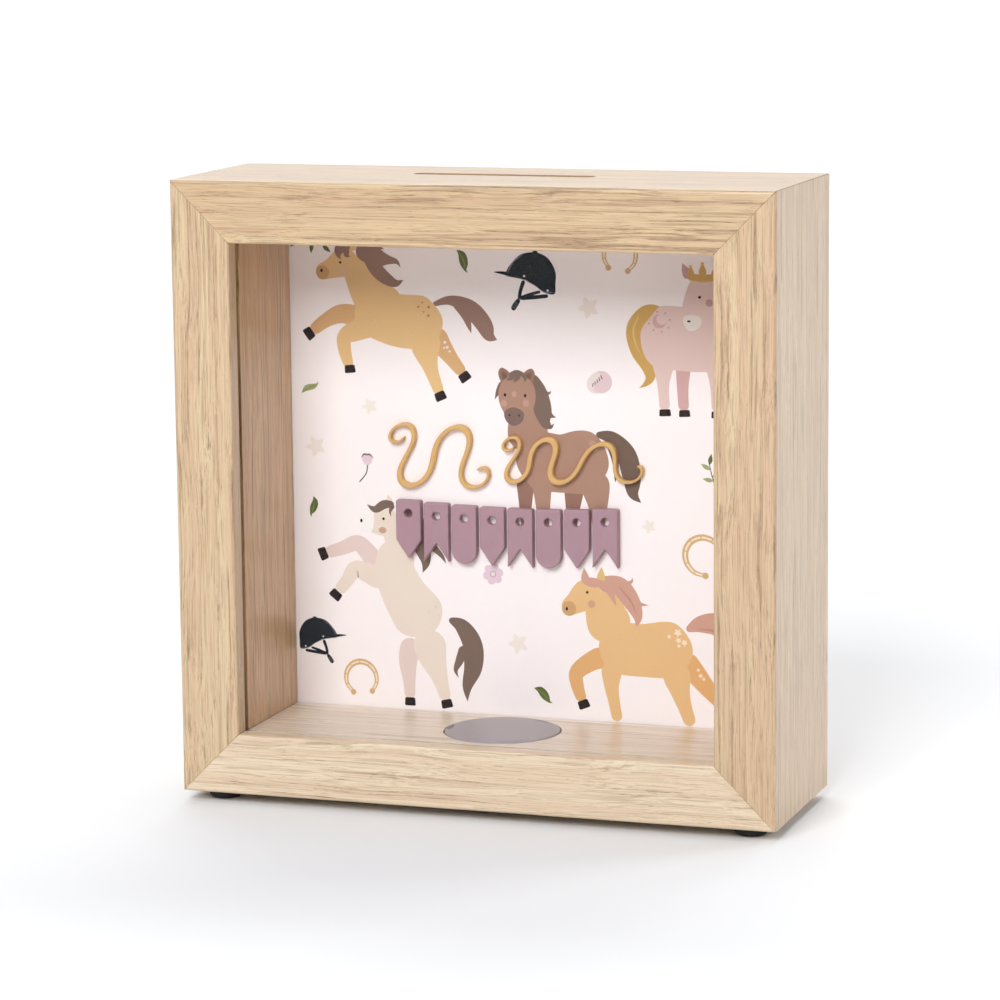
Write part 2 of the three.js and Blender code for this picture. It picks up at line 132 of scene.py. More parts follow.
def spline(points: np.ndarray, steps: int, closed: bool = False) -> np.ndarray:
    """A Catmull-Rom curve: between two neighbours it is the cubic that leaves each point in the
    direction from the point before to the point after, with half that difference as its slope.

    Args:
        points: One row for each point, of any number of columns.
        steps: How many rows to return.
        closed: Whether the curve returns to its first point, which is then not repeated.

    Returns:
        The curve's rows at even steps of its parameter.
    """
    count = len(points)
    if closed:
        at = np.linspace(0, count, steps, endpoint=False)
        index = np.floor(at).astype(int)
        before, here, after, later = (points[(index + k) % count] for k in (-1, 0, 1, 2))
    else:
        at = np.linspace(0, count - 1, steps)
        index = np.minimum(np.floor(at).astype(int), count - 2)
        padded = np.array([2 * points[0] - points[1], *points, 2 * points[-1] - points[-2]])
        before, here, after, later = (padded[index + k] for k in (0, 1, 2, 3))
    t = (at - index)[:, None]
    slope_here, slope_after = (after - before) / 2, (later - here) / 2
    return (
        (2 * t**3 - 3 * t**2 + 1) * here
        + (t**3 - 2 * t**2 + t) * slope_here
        + (3 * t**2 - 2 * t**3) * after
        + (t**3 - t**2) * slope_after
    )


def grid_faces(rows: int, columns: int, first: int = 0, wrap_rows: bool = False) -> np.ndarray:
    """The quads of a grid whose columns close on themselves.

    Args:
        rows: Number of rings.
        columns: Points in each ring.
        first: Number of the grid's first vertex.
        wrap_rows: Whether the last ring joins the first.

    Returns:
        One row of four vertex numbers for each quad.
    """
    row = np.arange(rows if wrap_rows else rows - 1)[:, None]
    column = np.arange(columns)[None, :]
    below, beside = (row + 1) % rows, (column + 1) % columns
    here, under = row * columns, below * columns
    corners = np.broadcast_arrays(here + column, here + beside, under + beside, under + column)
    return first + np.stack([corner.ravel() for corner in corners], axis=1)


@dataclass
class Shell:
    """Closed surfaces gathered into one mesh, with a colour for each vertex where wanted."""

    places: list[np.ndarray] = field(default_factory=list)
    faces: list[Sequence[int]] = field(default_factory=list)
    colours: list[np.ndarray] = field(default_factory=list)

    def count(self) -> int:
        """Returns how many vertices there are so far."""
        return sum(len(block) for block in self.places)

    def add_rings(self, rings: np.ndarray, colour: Colour | None = None,
                  wrap: bool = False) -> None:
        """Adds a surface given as rings of points, closed by a face at each end or by wrapping.

        Args:
            rings: Array of rings by points by three.
            colour: Colour of all its vertices.
            wrap: Whether the last ring joins the first, as on a torus.
        """
        first = self.count()
        rows, columns = rings.shape[:2]
        self.faces.extend(grid_faces(rows, columns, first, wrap).tolist())
        if not wrap:
            self.faces.append(list(range(first + columns - 1, first - 1, -1)))
            self.faces.append(list(range(first + (rows - 1) * columns, first + rows * columns)))
        self.places.append(rings.reshape(-1, 3))
        if colour is not None:
            self.colours.append(np.tile(np.array([*colour, 1.0]), (rows * columns, 1)))

    def build(self, name: str, material: Material, sharp: float = 35.0) -> Piece:
        """Makes the mesh object.

        Args:
            name: Name of the object.
            material: Its finish.
            sharp: Edges that turn by more than this many degrees stay sharp.

        Returns:
            The new object, at the origin.
        """
        mesh = bpy.data.meshes.new(name)
        mesh.from_pydata(np.concatenate(self.places).tolist(), [], self.faces)
        if self.colours:
            ink = mesh.color_attributes.new("ink", "FLOAT_COLOR", "POINT")
            ink.data.foreach_set("color", np.concatenate(self.colours).ravel())
        mesh.polygons.foreach_set("use_smooth", np.ones(len(mesh.polygons), bool))
        mesh.materials.append(material)
        mesh.validate()
        face_outwards(mesh)
        mesh.set_sharp_from_angle(angle=math.radians(sharp))
        piece = bpy.data.objects.new(name, mesh)
        bpy.context.scene.collection.objects.link(piece)
        return piece


def face_outwards(mesh: bpy.types.Mesh) -> None:
    """Turns every closed surface of a mesh so that its faces point out of it.

    Args:
        mesh: The mesh.
    """
    work = bmesh.new()
    work.from_mesh(mesh)
    bmesh.ops.recalc_face_normals(work, faces=work.faces)
    work.to_mesh(mesh)
    work.free()


def lathe(profile: np.ndarray, centre: Sequence[float], turns: int = 96) -> np.ndarray:
    """A surface of revolution: each profile point runs round the upright axis through the centre.

    Args:
        profile: Rows of radius and height.
        centre: Foot of the axis.
        turns: Points round the axis.

    Returns:
        Rings for Shell.add_rings, one for each profile point.
    """
    angle = np.linspace(0, FULL_TURN, turns, endpoint=False)
    radius, height = profile[:, :1], profile[:, 1:2]
    x = centre[0] + radius * np.cos(angle)
    y = centre[1] + radius * np.sin(angle)
    return np.stack([x, y, centre[2] + height + 0 * x], axis=-1)


def quarter(centre: Sequence[float], radius: float, start: float, steps: int = 6) -> np.ndarray:
    """Returns points of a quarter circle, anticlockwise from the start angle in degrees."""
    angle = np.radians(start + np.linspace(0, 90, steps))
    across, up = centre[0] + radius * np.cos(angle), centre[1] + radius * np.sin(angle)
    return np.stack([across, up], axis=1)


# ---- shader graphs -------------------------------------------------------------------------------

class Graph:
    """A short way to write a node tree."""

    def __init__(self, tree: Tree) -> None:
        """Keeps the tree and empties it."""
        self.tree = tree
        tree.nodes.clear()

    def feed(self, socket: Socket, value: Feed) -> None:
        """Links an input to the socket that feeds it, or gives it a value.

        Args:
            socket: The input.
            value: The socket or the value; a colour may come without its alpha.
        """
        if isinstance(value, Socket):
            self.tree.links.new(value, socket)
        elif socket.type == "RGBA" and len(value) == 3:
            socket.default_value = (*value, 1.0)
        else:
            socket.default_value = value

    def node(self, kind: str, inputs: dict[str | int, Feed] | None = None,
             **settings) -> bpy.types.Node:
        """Adds a node.

        Args:
            kind: The node's type name.
            inputs: Input name or number to a value or to the socket that feeds it.
            **settings: Properties of the node.

        Returns:
            The node.
        """
        made = self.tree.nodes.new(kind)
        for key, value in settings.items():
            setattr(made, key, value)
        for key, value in (inputs or {}).items():
            self.feed(made.inputs[key], value)
        return made

    def group(self, tree: Tree, inputs: dict[str, Feed]) -> bpy.types.NodeOutputs:
        """Adds a node group and returns its outputs."""
        return self.node("ShaderNodeGroup", inputs, node_tree=tree).outputs

    def math(self, operation: str, *values: Feed, clamp: bool = False) -> Socket:
        """Adds a Math node and returns its result."""
        inputs = dict(enumerate(values))
        return self.node("ShaderNodeMath", inputs, operation=operation, use_clamp=clamp).outputs[0]

    def scale(self, vector: Feed, factor: Feed) -> Socket:
        """Returns a vector, or a colour, multiplied by a number."""
        inputs = {0: vector, "Scale": factor}
        return self.node("ShaderNodeVectorMath", inputs, operation="SCALE").outputs[0]

    def noise(self, vector: Feed, detail: float = 3, roughness: float = 0.55) -> Socket:
        """Adds a Noise texture and returns its value."""
        inputs = {"Vector": vector, "Scale": 1.0, "Detail": detail, "Roughness": roughness}
        return self.node("ShaderNodeTexNoise", inputs).outputs["Fac"]

    def stretch(self, vector: Feed, scale: Point, location: Point = (0, 0, 0)) -> Socket:
        """Adds a Mapping node and returns its vector."""
        inputs = {"Vector": vector, "Scale": scale, "Location": location}
        return self.node("ShaderNodeMapping", inputs).outputs[0]

    def ramp(self, value: Feed, low: float, high: float) -> Socket:
        """Returns 0 below low, 1 above high and a smooth step between them."""
        inputs = {"Value": value, "From Min": low, "From Max": high, "To Min": 0.0, "To Max": 1.0}
        return self.node("ShaderNodeMapRange", inputs, interpolation_type="SMOOTHSTEP").outputs[0]

    def mix(self, factor: Feed, first: Feed, second: Feed) -> Socket:
        """Mixes two colours and returns the result."""
        inputs = {0: factor, 6: first, 7: second}
        return self.node("ShaderNodeMix", inputs, data_type="RGBA").outputs[2]


def new_group(name: str, inputs: Iterable[tuple], outputs: Iterable[tuple]) -> Graph:
    """Makes an empty shader node group.

    Args:
        name: Name of the group.
        inputs: Name, socket type and default value of each input.
        outputs: Name and socket type of each output.

    Returns:
        The graph to fill it with.
    """
    group = bpy.data.node_groups.new(name, "ShaderNodeTree")
    for label, kind, value in inputs:
        socket = group.interface.new_socket(name=label, in_out="INPUT", socket_type=kind)
        if value is not None:
            socket.default_value = value
    for label, kind in outputs:
        group.interface.new_socket(name=label, in_out="OUTPUT", socket_type=kind)
    return Graph(group)


FLOAT, COLOUR, VECTOR = "NodeSocketFloat", "NodeSocketColor", "NodeSocketVector"


class Effects:
    """The node groups that several finishes share, each built once."""

    def __init__(self) -> None:
        """Builds every group."""
        self.oak = self.build_oak()
        self.mottle = self.build_mottle()
        self.fibre = self.build_fibre()

    @staticmethod
    def build_oak() -> Tree:
        """Oak-effect surface with the grain along X of its vector, in millimetres.

        Broad bands, growth lines and fine streaks are noises stretched along the grain; pores are
        short dashes where a finer noise passes a limit, thicker inside the darker bands.

        Returns:
            The group.
        """
        g = new_group("Oak grain", [
            ("Vector", VECTOR, None), ("Light", COLOUR, None), ("Middle", COLOUR, None),
            ("Dark", COLOUR, None), ("Pore", COLOUR, None),
            ("Streaks", FLOAT, 1.0), ("Pores", FLOAT, 1.0),
        ], [("Color", COLOUR), ("Height", FLOAT), ("Roughness", FLOAT)])
        inside = g.node("NodeGroupInput").outputs
        # Each triple is how often a noise repeats in a millimetre along and across the grain.
        sway = g.math("SUBTRACT", g.noise(g.stretch(inside["Vector"], (0.016, 0.1, 0.1)), 2), 0.5)
        sideways = g.node("ShaderNodeCombineXYZ", {
            "Y": g.math("MULTIPLY", sway, 5.0), "Z": g.math("MULTIPLY", sway, 5.0),
        }).outputs[0]
        bend = g.node("ShaderNodeVectorMath", {0: inside["Vector"], 1: sideways},
                      operation="ADD").outputs[0]
        bands = g.ramp(g.noise(g.stretch(bend, (0.005, 0.36, 0.36)), 2), 0.36, 0.64)
        lines = g.noise(g.stretch(bend, (0.008, 1.1, 1.1), (5, 2, 8)), 4, 0.62)
        fine = g.noise(g.stretch(bend, (0.03, 4.2, 4.2)), 4, 0.7)
        hair = g.noise(g.stretch(bend, (0.11, 9.0, 9.0)), 2, 0.6)
        growth = g.ramp(lines, 0.52, 0.66)
        dashes = g.noise(g.stretch(inside["Vector"], (0.34, 5.2, 5.2)), 2, 0.5)
        limit = g.math("SUBTRACT", 0.69, g.math("MULTIPLY", g.ramp(lines, 0.5, 0.68), 0.15))
        past = g.ramp(g.math("SUBTRACT", dashes, limit), 0.0, 0.07)
        pores = g.math("MULTIPLY", past, inside["Pores"], clamp=True)
        base = g.mix(bands, inside["Light"], inside["Middle"])
        strength = g.math("MULTIPLY", inside["Streaks"], 0.5)
        base = g.mix(g.math("MULTIPLY", growth, strength, clamp=True), base, inside["Dark"])
        strength = g.math("MULTIPLY", inside["Streaks"], 0.55)
        thread = g.math("MULTIPLY", g.ramp(fine, 0.44, 0.7), strength, clamp=True)
        base = g.mix(thread, base, inside["Dark"])
        base = g.mix(g.math("MULTIPLY", g.ramp(hair, 0.52, 0.75), 0.3), base, inside["Dark"])
        g.node("NodeGroupOutput", {
            "Color": g.mix(g.math("MULTIPLY", pores, 0.55), base, inside["Pore"]),
            "Height": g.math("SUBTRACT", g.math("MULTIPLY", fine, 0.3),
                             g.math("MULTIPLY", pores, 0.7)),
            "Roughness": g.math("ADD", 0.3, g.math("MULTIPLY", fine, 0.2)),
        })
        return g.tree

    @staticmethod
    def build_mottle() -> Tree:
        """A soft cloudy change of tone and a fine tooth, for paint, rubber, card and ink.

        Returns:
            The group.
        """
        g = new_group("Soft mottle", [
            ("Vector", VECTOR, None), ("Color", COLOUR, None), ("Amount", FLOAT, 0.1),
            ("Cloud Scale", FLOAT, 0.15), ("Tooth Scale", FLOAT, 6.0), ("Roughness", FLOAT, 0.5),
        ], [("Color", COLOUR), ("Height", FLOAT), ("Roughness", FLOAT)])
        inside = g.node("NodeGroupInput").outputs
        cloud, tooth = (g.node("ShaderNodeTexNoise", {
            "Vector": inside["Vector"], "Scale": inside[f"{kind} Scale"],
        }).outputs["Fac"] for kind in ("Cloud", "Tooth"))
        tone = g.math("ADD", g.math("MULTIPLY", cloud, 0.7), g.math("MULTIPLY", tooth, 0.3))
        shift = g.math("MULTIPLY", g.math("SUBTRACT", tone, 0.5), inside["Amount"])
        shade = g.math("ADD", 1.0, g.math("MULTIPLY", shift, 2.0))
        rough = g.math("ADD", inside["Roughness"], g.math("MULTIPLY", shift, 1.5))
        g.node("NodeGroupOutput", {
            "Color": g.scale(inside["Color"], shade), "Height": tooth, "Roughness": rough,
        })
        return g.tree

    @staticmethod
    def build_fibre() -> Tree:
        """Pressed wood fibre: a brown ground with short pale and dark flecks.

        Returns:
            The group.
        """
        g = new_group("Pressed fibre", [
            ("Vector", VECTOR, None), ("Ground", COLOUR, None), ("Fleck", COLOUR, None),
            ("Scale", FLOAT, 1.0),
        ], [("Color", COLOUR), ("Height", FLOAT)])
        inside = g.node("NodeGroupInput").outputs
        place = g.scale(inside["Vector"], inside["Scale"])
        pale = g.ramp(g.noise(g.stretch(place, (0.9, 3.2, 3.2)), 4, 0.65), 0.55, 0.72)
        dark = g.ramp(g.noise(g.stretch(place, (3.2, 3.0, 0.8), (7, 3, 1)), 4, 0.65), 0.56, 0.74)
        colour = g.mix(g.math("MULTIPLY", pale, 0.65), inside["Ground"], inside["Fleck"])
        colour = g.mix(g.math("MULTIPLY", dark, 0.45), colour, (0.05, 0.028, 0.014))
        g.node("NodeGroupOutput", {"Color": colour, "Height": g.math("SUBTRACT", pale, dark)})
        return g.tree


class Grain(Enum):
    """Which way a piece's grain runs, as the turn that brings it to X."""

    ALONG_X = (0.0, 0.0, 0.0)
    ALONG_Z = (0.0, math.pi / 2, 0.0)


@dataclass(frozen=True)
class Palette:
    """The three tones of an oak-effect foil."""

    light: Colour
    middle: Colour
    dark: Colour


OAK_PLAIN = Palette(srgb(211, 183, 142), srgb(203, 169, 133), srgb(159, 127, 92))
# Painted light: the bottom rail's foil is painted paler than the top rail's, standing in for the
# front growing brighter towards the bottom.
OAK_BOTTOM_PAINTED_LIGHT = Palette(srgb(229, 209, 179), srgb(223, 198, 167), srgb(186, 158, 125))
# Painted light: the stiles' foil is painted a little lighter than the top rail's, between it and the
# bottom rail, for the front brightening towards the bottom.
OAK_STILE_PAINTED_LIGHT = Palette(srgb(216, 189, 150), srgb(208, 176, 140), srgb(162, 130, 95))
OAK_WARM = Palette(srgb(222, 186, 139), srgb(213, 173, 127), srgb(166, 128, 88))
# Painted light: the chamber floor's foil is painted pale, standing in for light from above and the
# card's sheen reflected in it.
OAK_FLOOR_PAINTED_LIGHT = Palette(srgb(240, 228, 212), srgb(232, 217, 196), srgb(204, 184, 160))
FLECK = srgb(176, 142, 104)


@dataclass(frozen=True)
class Finish:
    """What every finish has: a name and the effects it draws on."""

    name: str
    effects: Effects

    def start(self) -> tuple[Material, Graph, Socket]:
        """Makes an empty material.

        Returns:
            The material, its graph and the piece's own coordinates in millimetres.
        """
        material = bpy.data.materials.new(self.name)
        material.use_nodes = True
        g = Graph(material.node_tree)
        return material, g, g.scale(g.node("ShaderNodeTexCoord").outputs["Object"], 1 / MM)

    def close(self, g: Graph, surface: dict[str, Feed], height: Socket, depth: float) -> None:
        """Adds the surface shader with its bump, and the output.

        Args:
            g: The material's graph.
            surface: Inputs of the Principled shader.
            height: Socket with the relief, from 0 to 1.
            depth: Depth of the relief in millimetres.
        """
        bump = g.node("ShaderNodeBump", {"Strength": 0.6, "Distance": depth * MM, "Height": height})
        shader = g.node("ShaderNodeBsdfPrincipled", {**surface, "Normal": bump.outputs[0]})
        g.node("ShaderNodeOutputMaterial", {"Surface": shader.outputs[0]})


@dataclass(frozen=True)
class Oak(Finish):
    """Oak-effect foil on pressed board, with the raw board bare where the foil is cut through."""

    grain: Grain = Grain.ALONG_X
    offset: Point = (0.0, 0.0, 0.0)
    palette: Palette = OAK_PLAIN
    pore: Colour = srgb(108, 82, 57)
    streaks: float = 1.6
    pores: float = 0.95
    lacquer: float = 0.5
    bare: Callable[[Graph, Socket], Socket] | None = None

    def make(self) -> Material:
        """Returns the material."""
        material, g, place = self.start()
        turned = g.node("ShaderNodeMapping", {
            "Vector": place, "Rotation": self.grain.value, "Location": self.offset,
        }).outputs[0]
        foil = g.group(self.effects.oak, {
            "Vector": turned, "Light": self.palette.light, "Middle": self.palette.middle,
            "Dark": self.palette.dark, "Pore": self.pore, "Streaks": self.streaks,
            "Pores": self.pores,
        })
        colour, rough = foil["Color"], foil["Roughness"]
        if self.bare is not None:
            mask = self.bare(g, place)
            fibre = g.group(self.effects.fibre, {
                "Vector": place, "Ground": FLECK, "Fleck": srgb(206, 176, 138),
            })
            colour = g.mix(mask, colour, fibre["Color"])
            rough = g.math("ADD", rough, g.math("MULTIPLY", mask, 0.35), clamp=True)
        self.close(g, {
            "Base Color": colour, "Roughness": rough, "Coat Weight": self.lacquer,
            "Coat Roughness": 0.3,
        }, foil["Height"], 0.1)
        return material


@dataclass(frozen=True)
class Matt(Finish):
    """Paint, rubber or card: one colour with soft clouds and a fine tooth."""

    colour: Colour | None
    roughness: float
    amount: float
    cloud: float
    tooth: float
    depth: float
    gloss: float = 0.4

    def make(self) -> Material:
        """Makes the material, whose colour is the mesh's own ink where none is given.

        Returns:
            The material.
        """
        material, g, place = self.start()
        colour = self.colour or g.node(
            "ShaderNodeAttribute", attribute_name="ink", attribute_type="GEOMETRY").outputs["Color"]
        mottle = g.group(self.effects.mottle, {
            "Vector": place, "Color": colour, "Amount": self.amount, "Cloud Scale": self.cloud,
            "Tooth Scale": self.tooth, "Roughness": self.roughness,
        })
        self.close(g, {
            "Base Color": mottle["Color"], "Roughness": mottle["Roughness"],
            "Specular IOR Level": self.gloss,
        }, mottle["Height"], self.depth)
        return material


@dataclass(frozen=True)
class Board(Finish):
    """Raw brown hardboard."""

    ground: Colour = srgb(138, 104, 72)

    def make(self) -> Material:
        """Returns the material."""
        material, g, place = self.start()
        inputs = {"Vector": place, "Ground": self.ground, "Fleck": FLECK, "Scale": 0.7}
        fibre = g.group(self.effects.fibre, inputs)
        self.close(g, {"Base Color": fibre["Color"], "Roughness": 0.82}, fibre["Height"], 0.1)
        return material


@dataclass(frozen=True)
class Steel(Finish):
    """Zinc-plated sheet steel with a drawn grain."""

    colour: Colour = srgb(196, 198, 202)
    shade: Colour = srgb(158, 161, 166)

    def make(self) -> Material:
        """Returns the material."""
        material, g, place = self.start()
        drawn = g.noise(g.stretch(place, (8.0, 1.0, 0.4)))
        spangle = g.node("ShaderNodeTexVoronoi", {"Vector": place, "Scale": 0.9}).outputs["Color"]
        tone = g.mix(g.math("MULTIPLY", spangle, 0.3), self.colour, self.shade)
        rough = g.math("ADD", 0.26, g.math("MULTIPLY", drawn, 0.22))
        surface = {"Base Color": tone, "Metallic": 1.0, "Roughness": rough}
        self.close(g, surface, drawn, 0.02)
        return material


@dataclass(frozen=True)
class Clear:
    """A clear polished pane: it lets light through and mirrors a little, more at a slant."""

    name: str
    tint: Colour = (0.99, 0.992, 0.992)
    shine: float = 0.15

    def make(self) -> Material:
        """Returns the material."""
        material = bpy.data.materials.new(self.name)
        material.use_nodes = True
        g = Graph(material.node_tree)
        through = g.node("ShaderNodeBsdfTransparent", {"Color": self.tint})
        mirror = g.node("ShaderNodeBsdfGlossy", {"Color": (1, 1, 1), "Roughness": 0.02})
        slant = g.node("ShaderNodeFresnel", {"IOR": 1.45})
        share = g.math("MULTIPLY", slant.outputs[0], self.shine)
        both = {0: share, 1: through.outputs[0], 2: mirror.outputs[0]}
        g.node("ShaderNodeOutputMaterial", {
            "Surface": g.node("ShaderNodeMixShader", both).outputs[0],
        })
        return material


# ---- drawings in ink -----------------------------------------------------------------------------

@dataclass
class Place:
    """Where a drawing lies on the card, in millimetres from the card's middle."""

    x: float = 0.0
    z: float = 0.0
    scale: float = 1.0
    turn: float = 0.0
    flip: bool = False

    def put(self, points: np.ndarray) -> np.ndarray:
        """Scales, flips, turns and moves points of the drawing's own frame.

        Args:
            points: Rows of x and z in millimetres.

        Returns:
            Their places on the card.
        """
        flat = points[:, :2] * (np.array([-1, 1]) if self.flip else 1) * self.scale
        c, s = math.cos(math.radians(self.turn)), math.sin(math.radians(self.turn))
        return flat @ np.array([[c, s], [-s, c]]) + np.array([self.x, self.z])


@dataclass
class Drawing:
    """Inks laid one over another on the card as thin closed films."""

    card_front: float
    card_middle: tuple[float, float]
    reach: float
    place: Place = field(default_factory=Place)
    shell: Shell = field(default_factory=Shell)
    film: float = 0.012 * MM
    step: float = 0.004 * MM
    core_share: float = 0.02
    least_half: float = 0.01
    round_from: float = 0.05
    hoof_flare: float = 1.12
    laid: int = 0

    def lay(self, outline: np.ndarray, hub: np.ndarray, ink: Ink) -> None:
        """Adds a film between an outline and a hub line of as many points.

        The film is a grid over (round the outline, from hub to rim to back): its face is flat and
        its rim drops straight to the card.

        Args:
            outline: Rows of x and z in millimetres.
            hub: Points inside the outline, one for each of its points.
            ink: The colour.
        """
        level = self.card_front - self.film - self.step * self.laid
        self.laid += 1
        edge = np.clip(outline, -self.reach, self.reach)
        core = np.clip(hub, -self.reach, self.reach)
        inner = core + (edge - core) * self.core_share
        rings = []
        back = self.card_front
        for flat, depth in ((inner, back), (edge, back), (edge, level), (inner, level)):
            x = self.card_middle[0] + flat[:, 0] * MM
            z = self.card_middle[1] + flat[:, 1] * MM
            rings.append(np.stack([x, np.full(len(x), depth), z], axis=1))
        self.shell.add_rings(np.array(rings), ink.value)

    def fan(self, ink: Ink, outline: np.ndarray, middle: np.ndarray) -> None:
        """Lays a patch spread from one point.

        Args:
            ink: The colour.
            outline: Rows of x and z in the drawing's own frame.
            middle: The point, as one row.
        """
        hub = np.tile(self.place.put(middle), (len(outline), 1))
        self.lay(self.place.put(outline), hub, ink)

    def stroke(self, ink: Ink, *points: Point, steps: int = 48) -> None:
        """Lays a line of changing width: a spline through the points, its width a spline as well.

        An end whose width isn't nothing is rounded: within half a width of the end, the half
        width follows a circle.

        Args:
            ink: The colour.
            *points: Places along the line and the line's full width there.
            steps: Points along the line.
        """
        even = spline(np.array(points, float), 6 * steps)
        run = np.concatenate([[0], np.cumsum(np.hypot(*np.diff(even[:, :2], axis=0).T))])
        wanted = run[-1] * (1 - np.cos(np.linspace(0, np.pi, steps))) / 2
        line = np.stack([np.interp(wanted, run, even[:, k]) for k in range(3)], axis=1)
        half = np.maximum(line[:, 2], 0) / 2
        for far, radius in ((wanted, half[0]), (run[-1] - wanted, half[-1])):
            if radius > self.round_from:
                short = np.clip(1 - far / min(radius, 0.5 * run[-1]), 0, 1)
                half = half * np.sqrt(1 - short**2)
        centre = line[:, :2]
        ahead = np.gradient(centre, axis=0)
        ahead /= np.maximum(np.hypot(*ahead.T), 1e-9)[:, None]
        left = np.stack([-ahead[:, 1], ahead[:, 0]], axis=1)
        across = left * np.maximum(half, self.least_half)[:, None]
        outline = np.concatenate([centre + across, (centre - across)[::-1]])
        hub = np.concatenate([centre, centre[::-1]])
        self.lay(self.place.put(outline), self.place.put(hub), ink)

    def strokes(self, ink: Ink, *lines: Sequence[Point]) -> None:
        """Lays several lines of one ink."""
        for points in lines:
            self.stroke(ink, *points)

    def leg(self, ink: Ink, hoof: Sequence[float], *points: Point) -> None:
        """Lays a leg and its square-ended hoof, a little wider below.

        Args:
            ink: The colour of the leg.
            hoof: The middles of the hoof's upper and lower end, then its width.
            *points: The leg's line, as for a stroke.
        """
        self.stroke(ink, *points)
        a, b, width = np.array(hoof[:2]), np.array(hoof[2:4]), hoof[4]
        along = (b - a) / np.hypot(*(b - a))
        side = np.array([-along[1], along[0]]) * width / 2
        low = side * self.hoof_flare
        corners = np.array([a + side, b + low, b - low, a - side])
        even = np.concatenate([np.linspace(p, q, 8, endpoint=False) for p, q in
                               zip(corners, np.roll(corners, -1, axis=0))])
        soft = (even + np.roll(even, 1, axis=0) + np.roll(even, -1, axis=0)) / 3
        self.fan(Ink.HOOF, soft, soft.mean(axis=0)[None])

    def blob(self, ink: Ink, *points: tuple[float, float], steps: int = 72) -> None:
        """Lays a patch bounded by a closed spline, spread from the mean of its points."""
        outline = self.place.put(spline(np.array(points, float), steps, closed=True))
        self.lay(outline, np.tile(outline.mean(axis=0), (steps, 1)), ink)

    def dot(self, ink: Ink, x: float, z: float, radius: float, tall: float = 1.0) -> None:
        """Lays a round or oval dot.

        Args:
            ink: The colour.
            x: Its middle's place across.
            z: Its middle's place up.
            radius: Half of its width.
            tall: Its height as a share of its width.
        """
        angle = np.linspace(0, FULL_TURN, 32, endpoint=False)
        rows = [x + radius * np.cos(angle), z + tall * radius * np.sin(angle)]
        self.fan(ink, np.stack(rows, axis=1), np.array([[x, z]]))

    def dots(self, ink: Ink, *places: Sequence[float]) -> None:
        """Lays several dots of one ink."""
        for place in places:
            self.dot(ink, *place)

    def star(self, ink: Ink, x: float, z: float, radius: float, turn: float = 90.0) -> None:
        """Lays a five-pointed star with soft points: the radius swings as a rounded zigzag.

        Args:
            ink: The colour.
            x: Its middle's place across.
            z: Its middle's place up.
            radius: Distance from its middle to a point.
            turn: Direction of one of its dips, in degrees.
        """
        angle = np.linspace(0, FULL_TURN, 80, endpoint=False)
        wave = np.abs(((5 * angle / FULL_TURN) % 1) * 2 - 1)
        reach = radius * (0.5 + 0.5 * wave**1.3)
        way = angle + math.radians(turn) + math.pi / 5
        rows = [x + reach * np.cos(way), z + reach * np.sin(way)]
        self.fan(ink, np.stack(rows, axis=1), np.array([[x, z]]))

    def stars(self, ink: Ink, *places: Point) -> None:
        """Lays several stars of one ink."""
        for place in places:
            self.star(ink, *place)


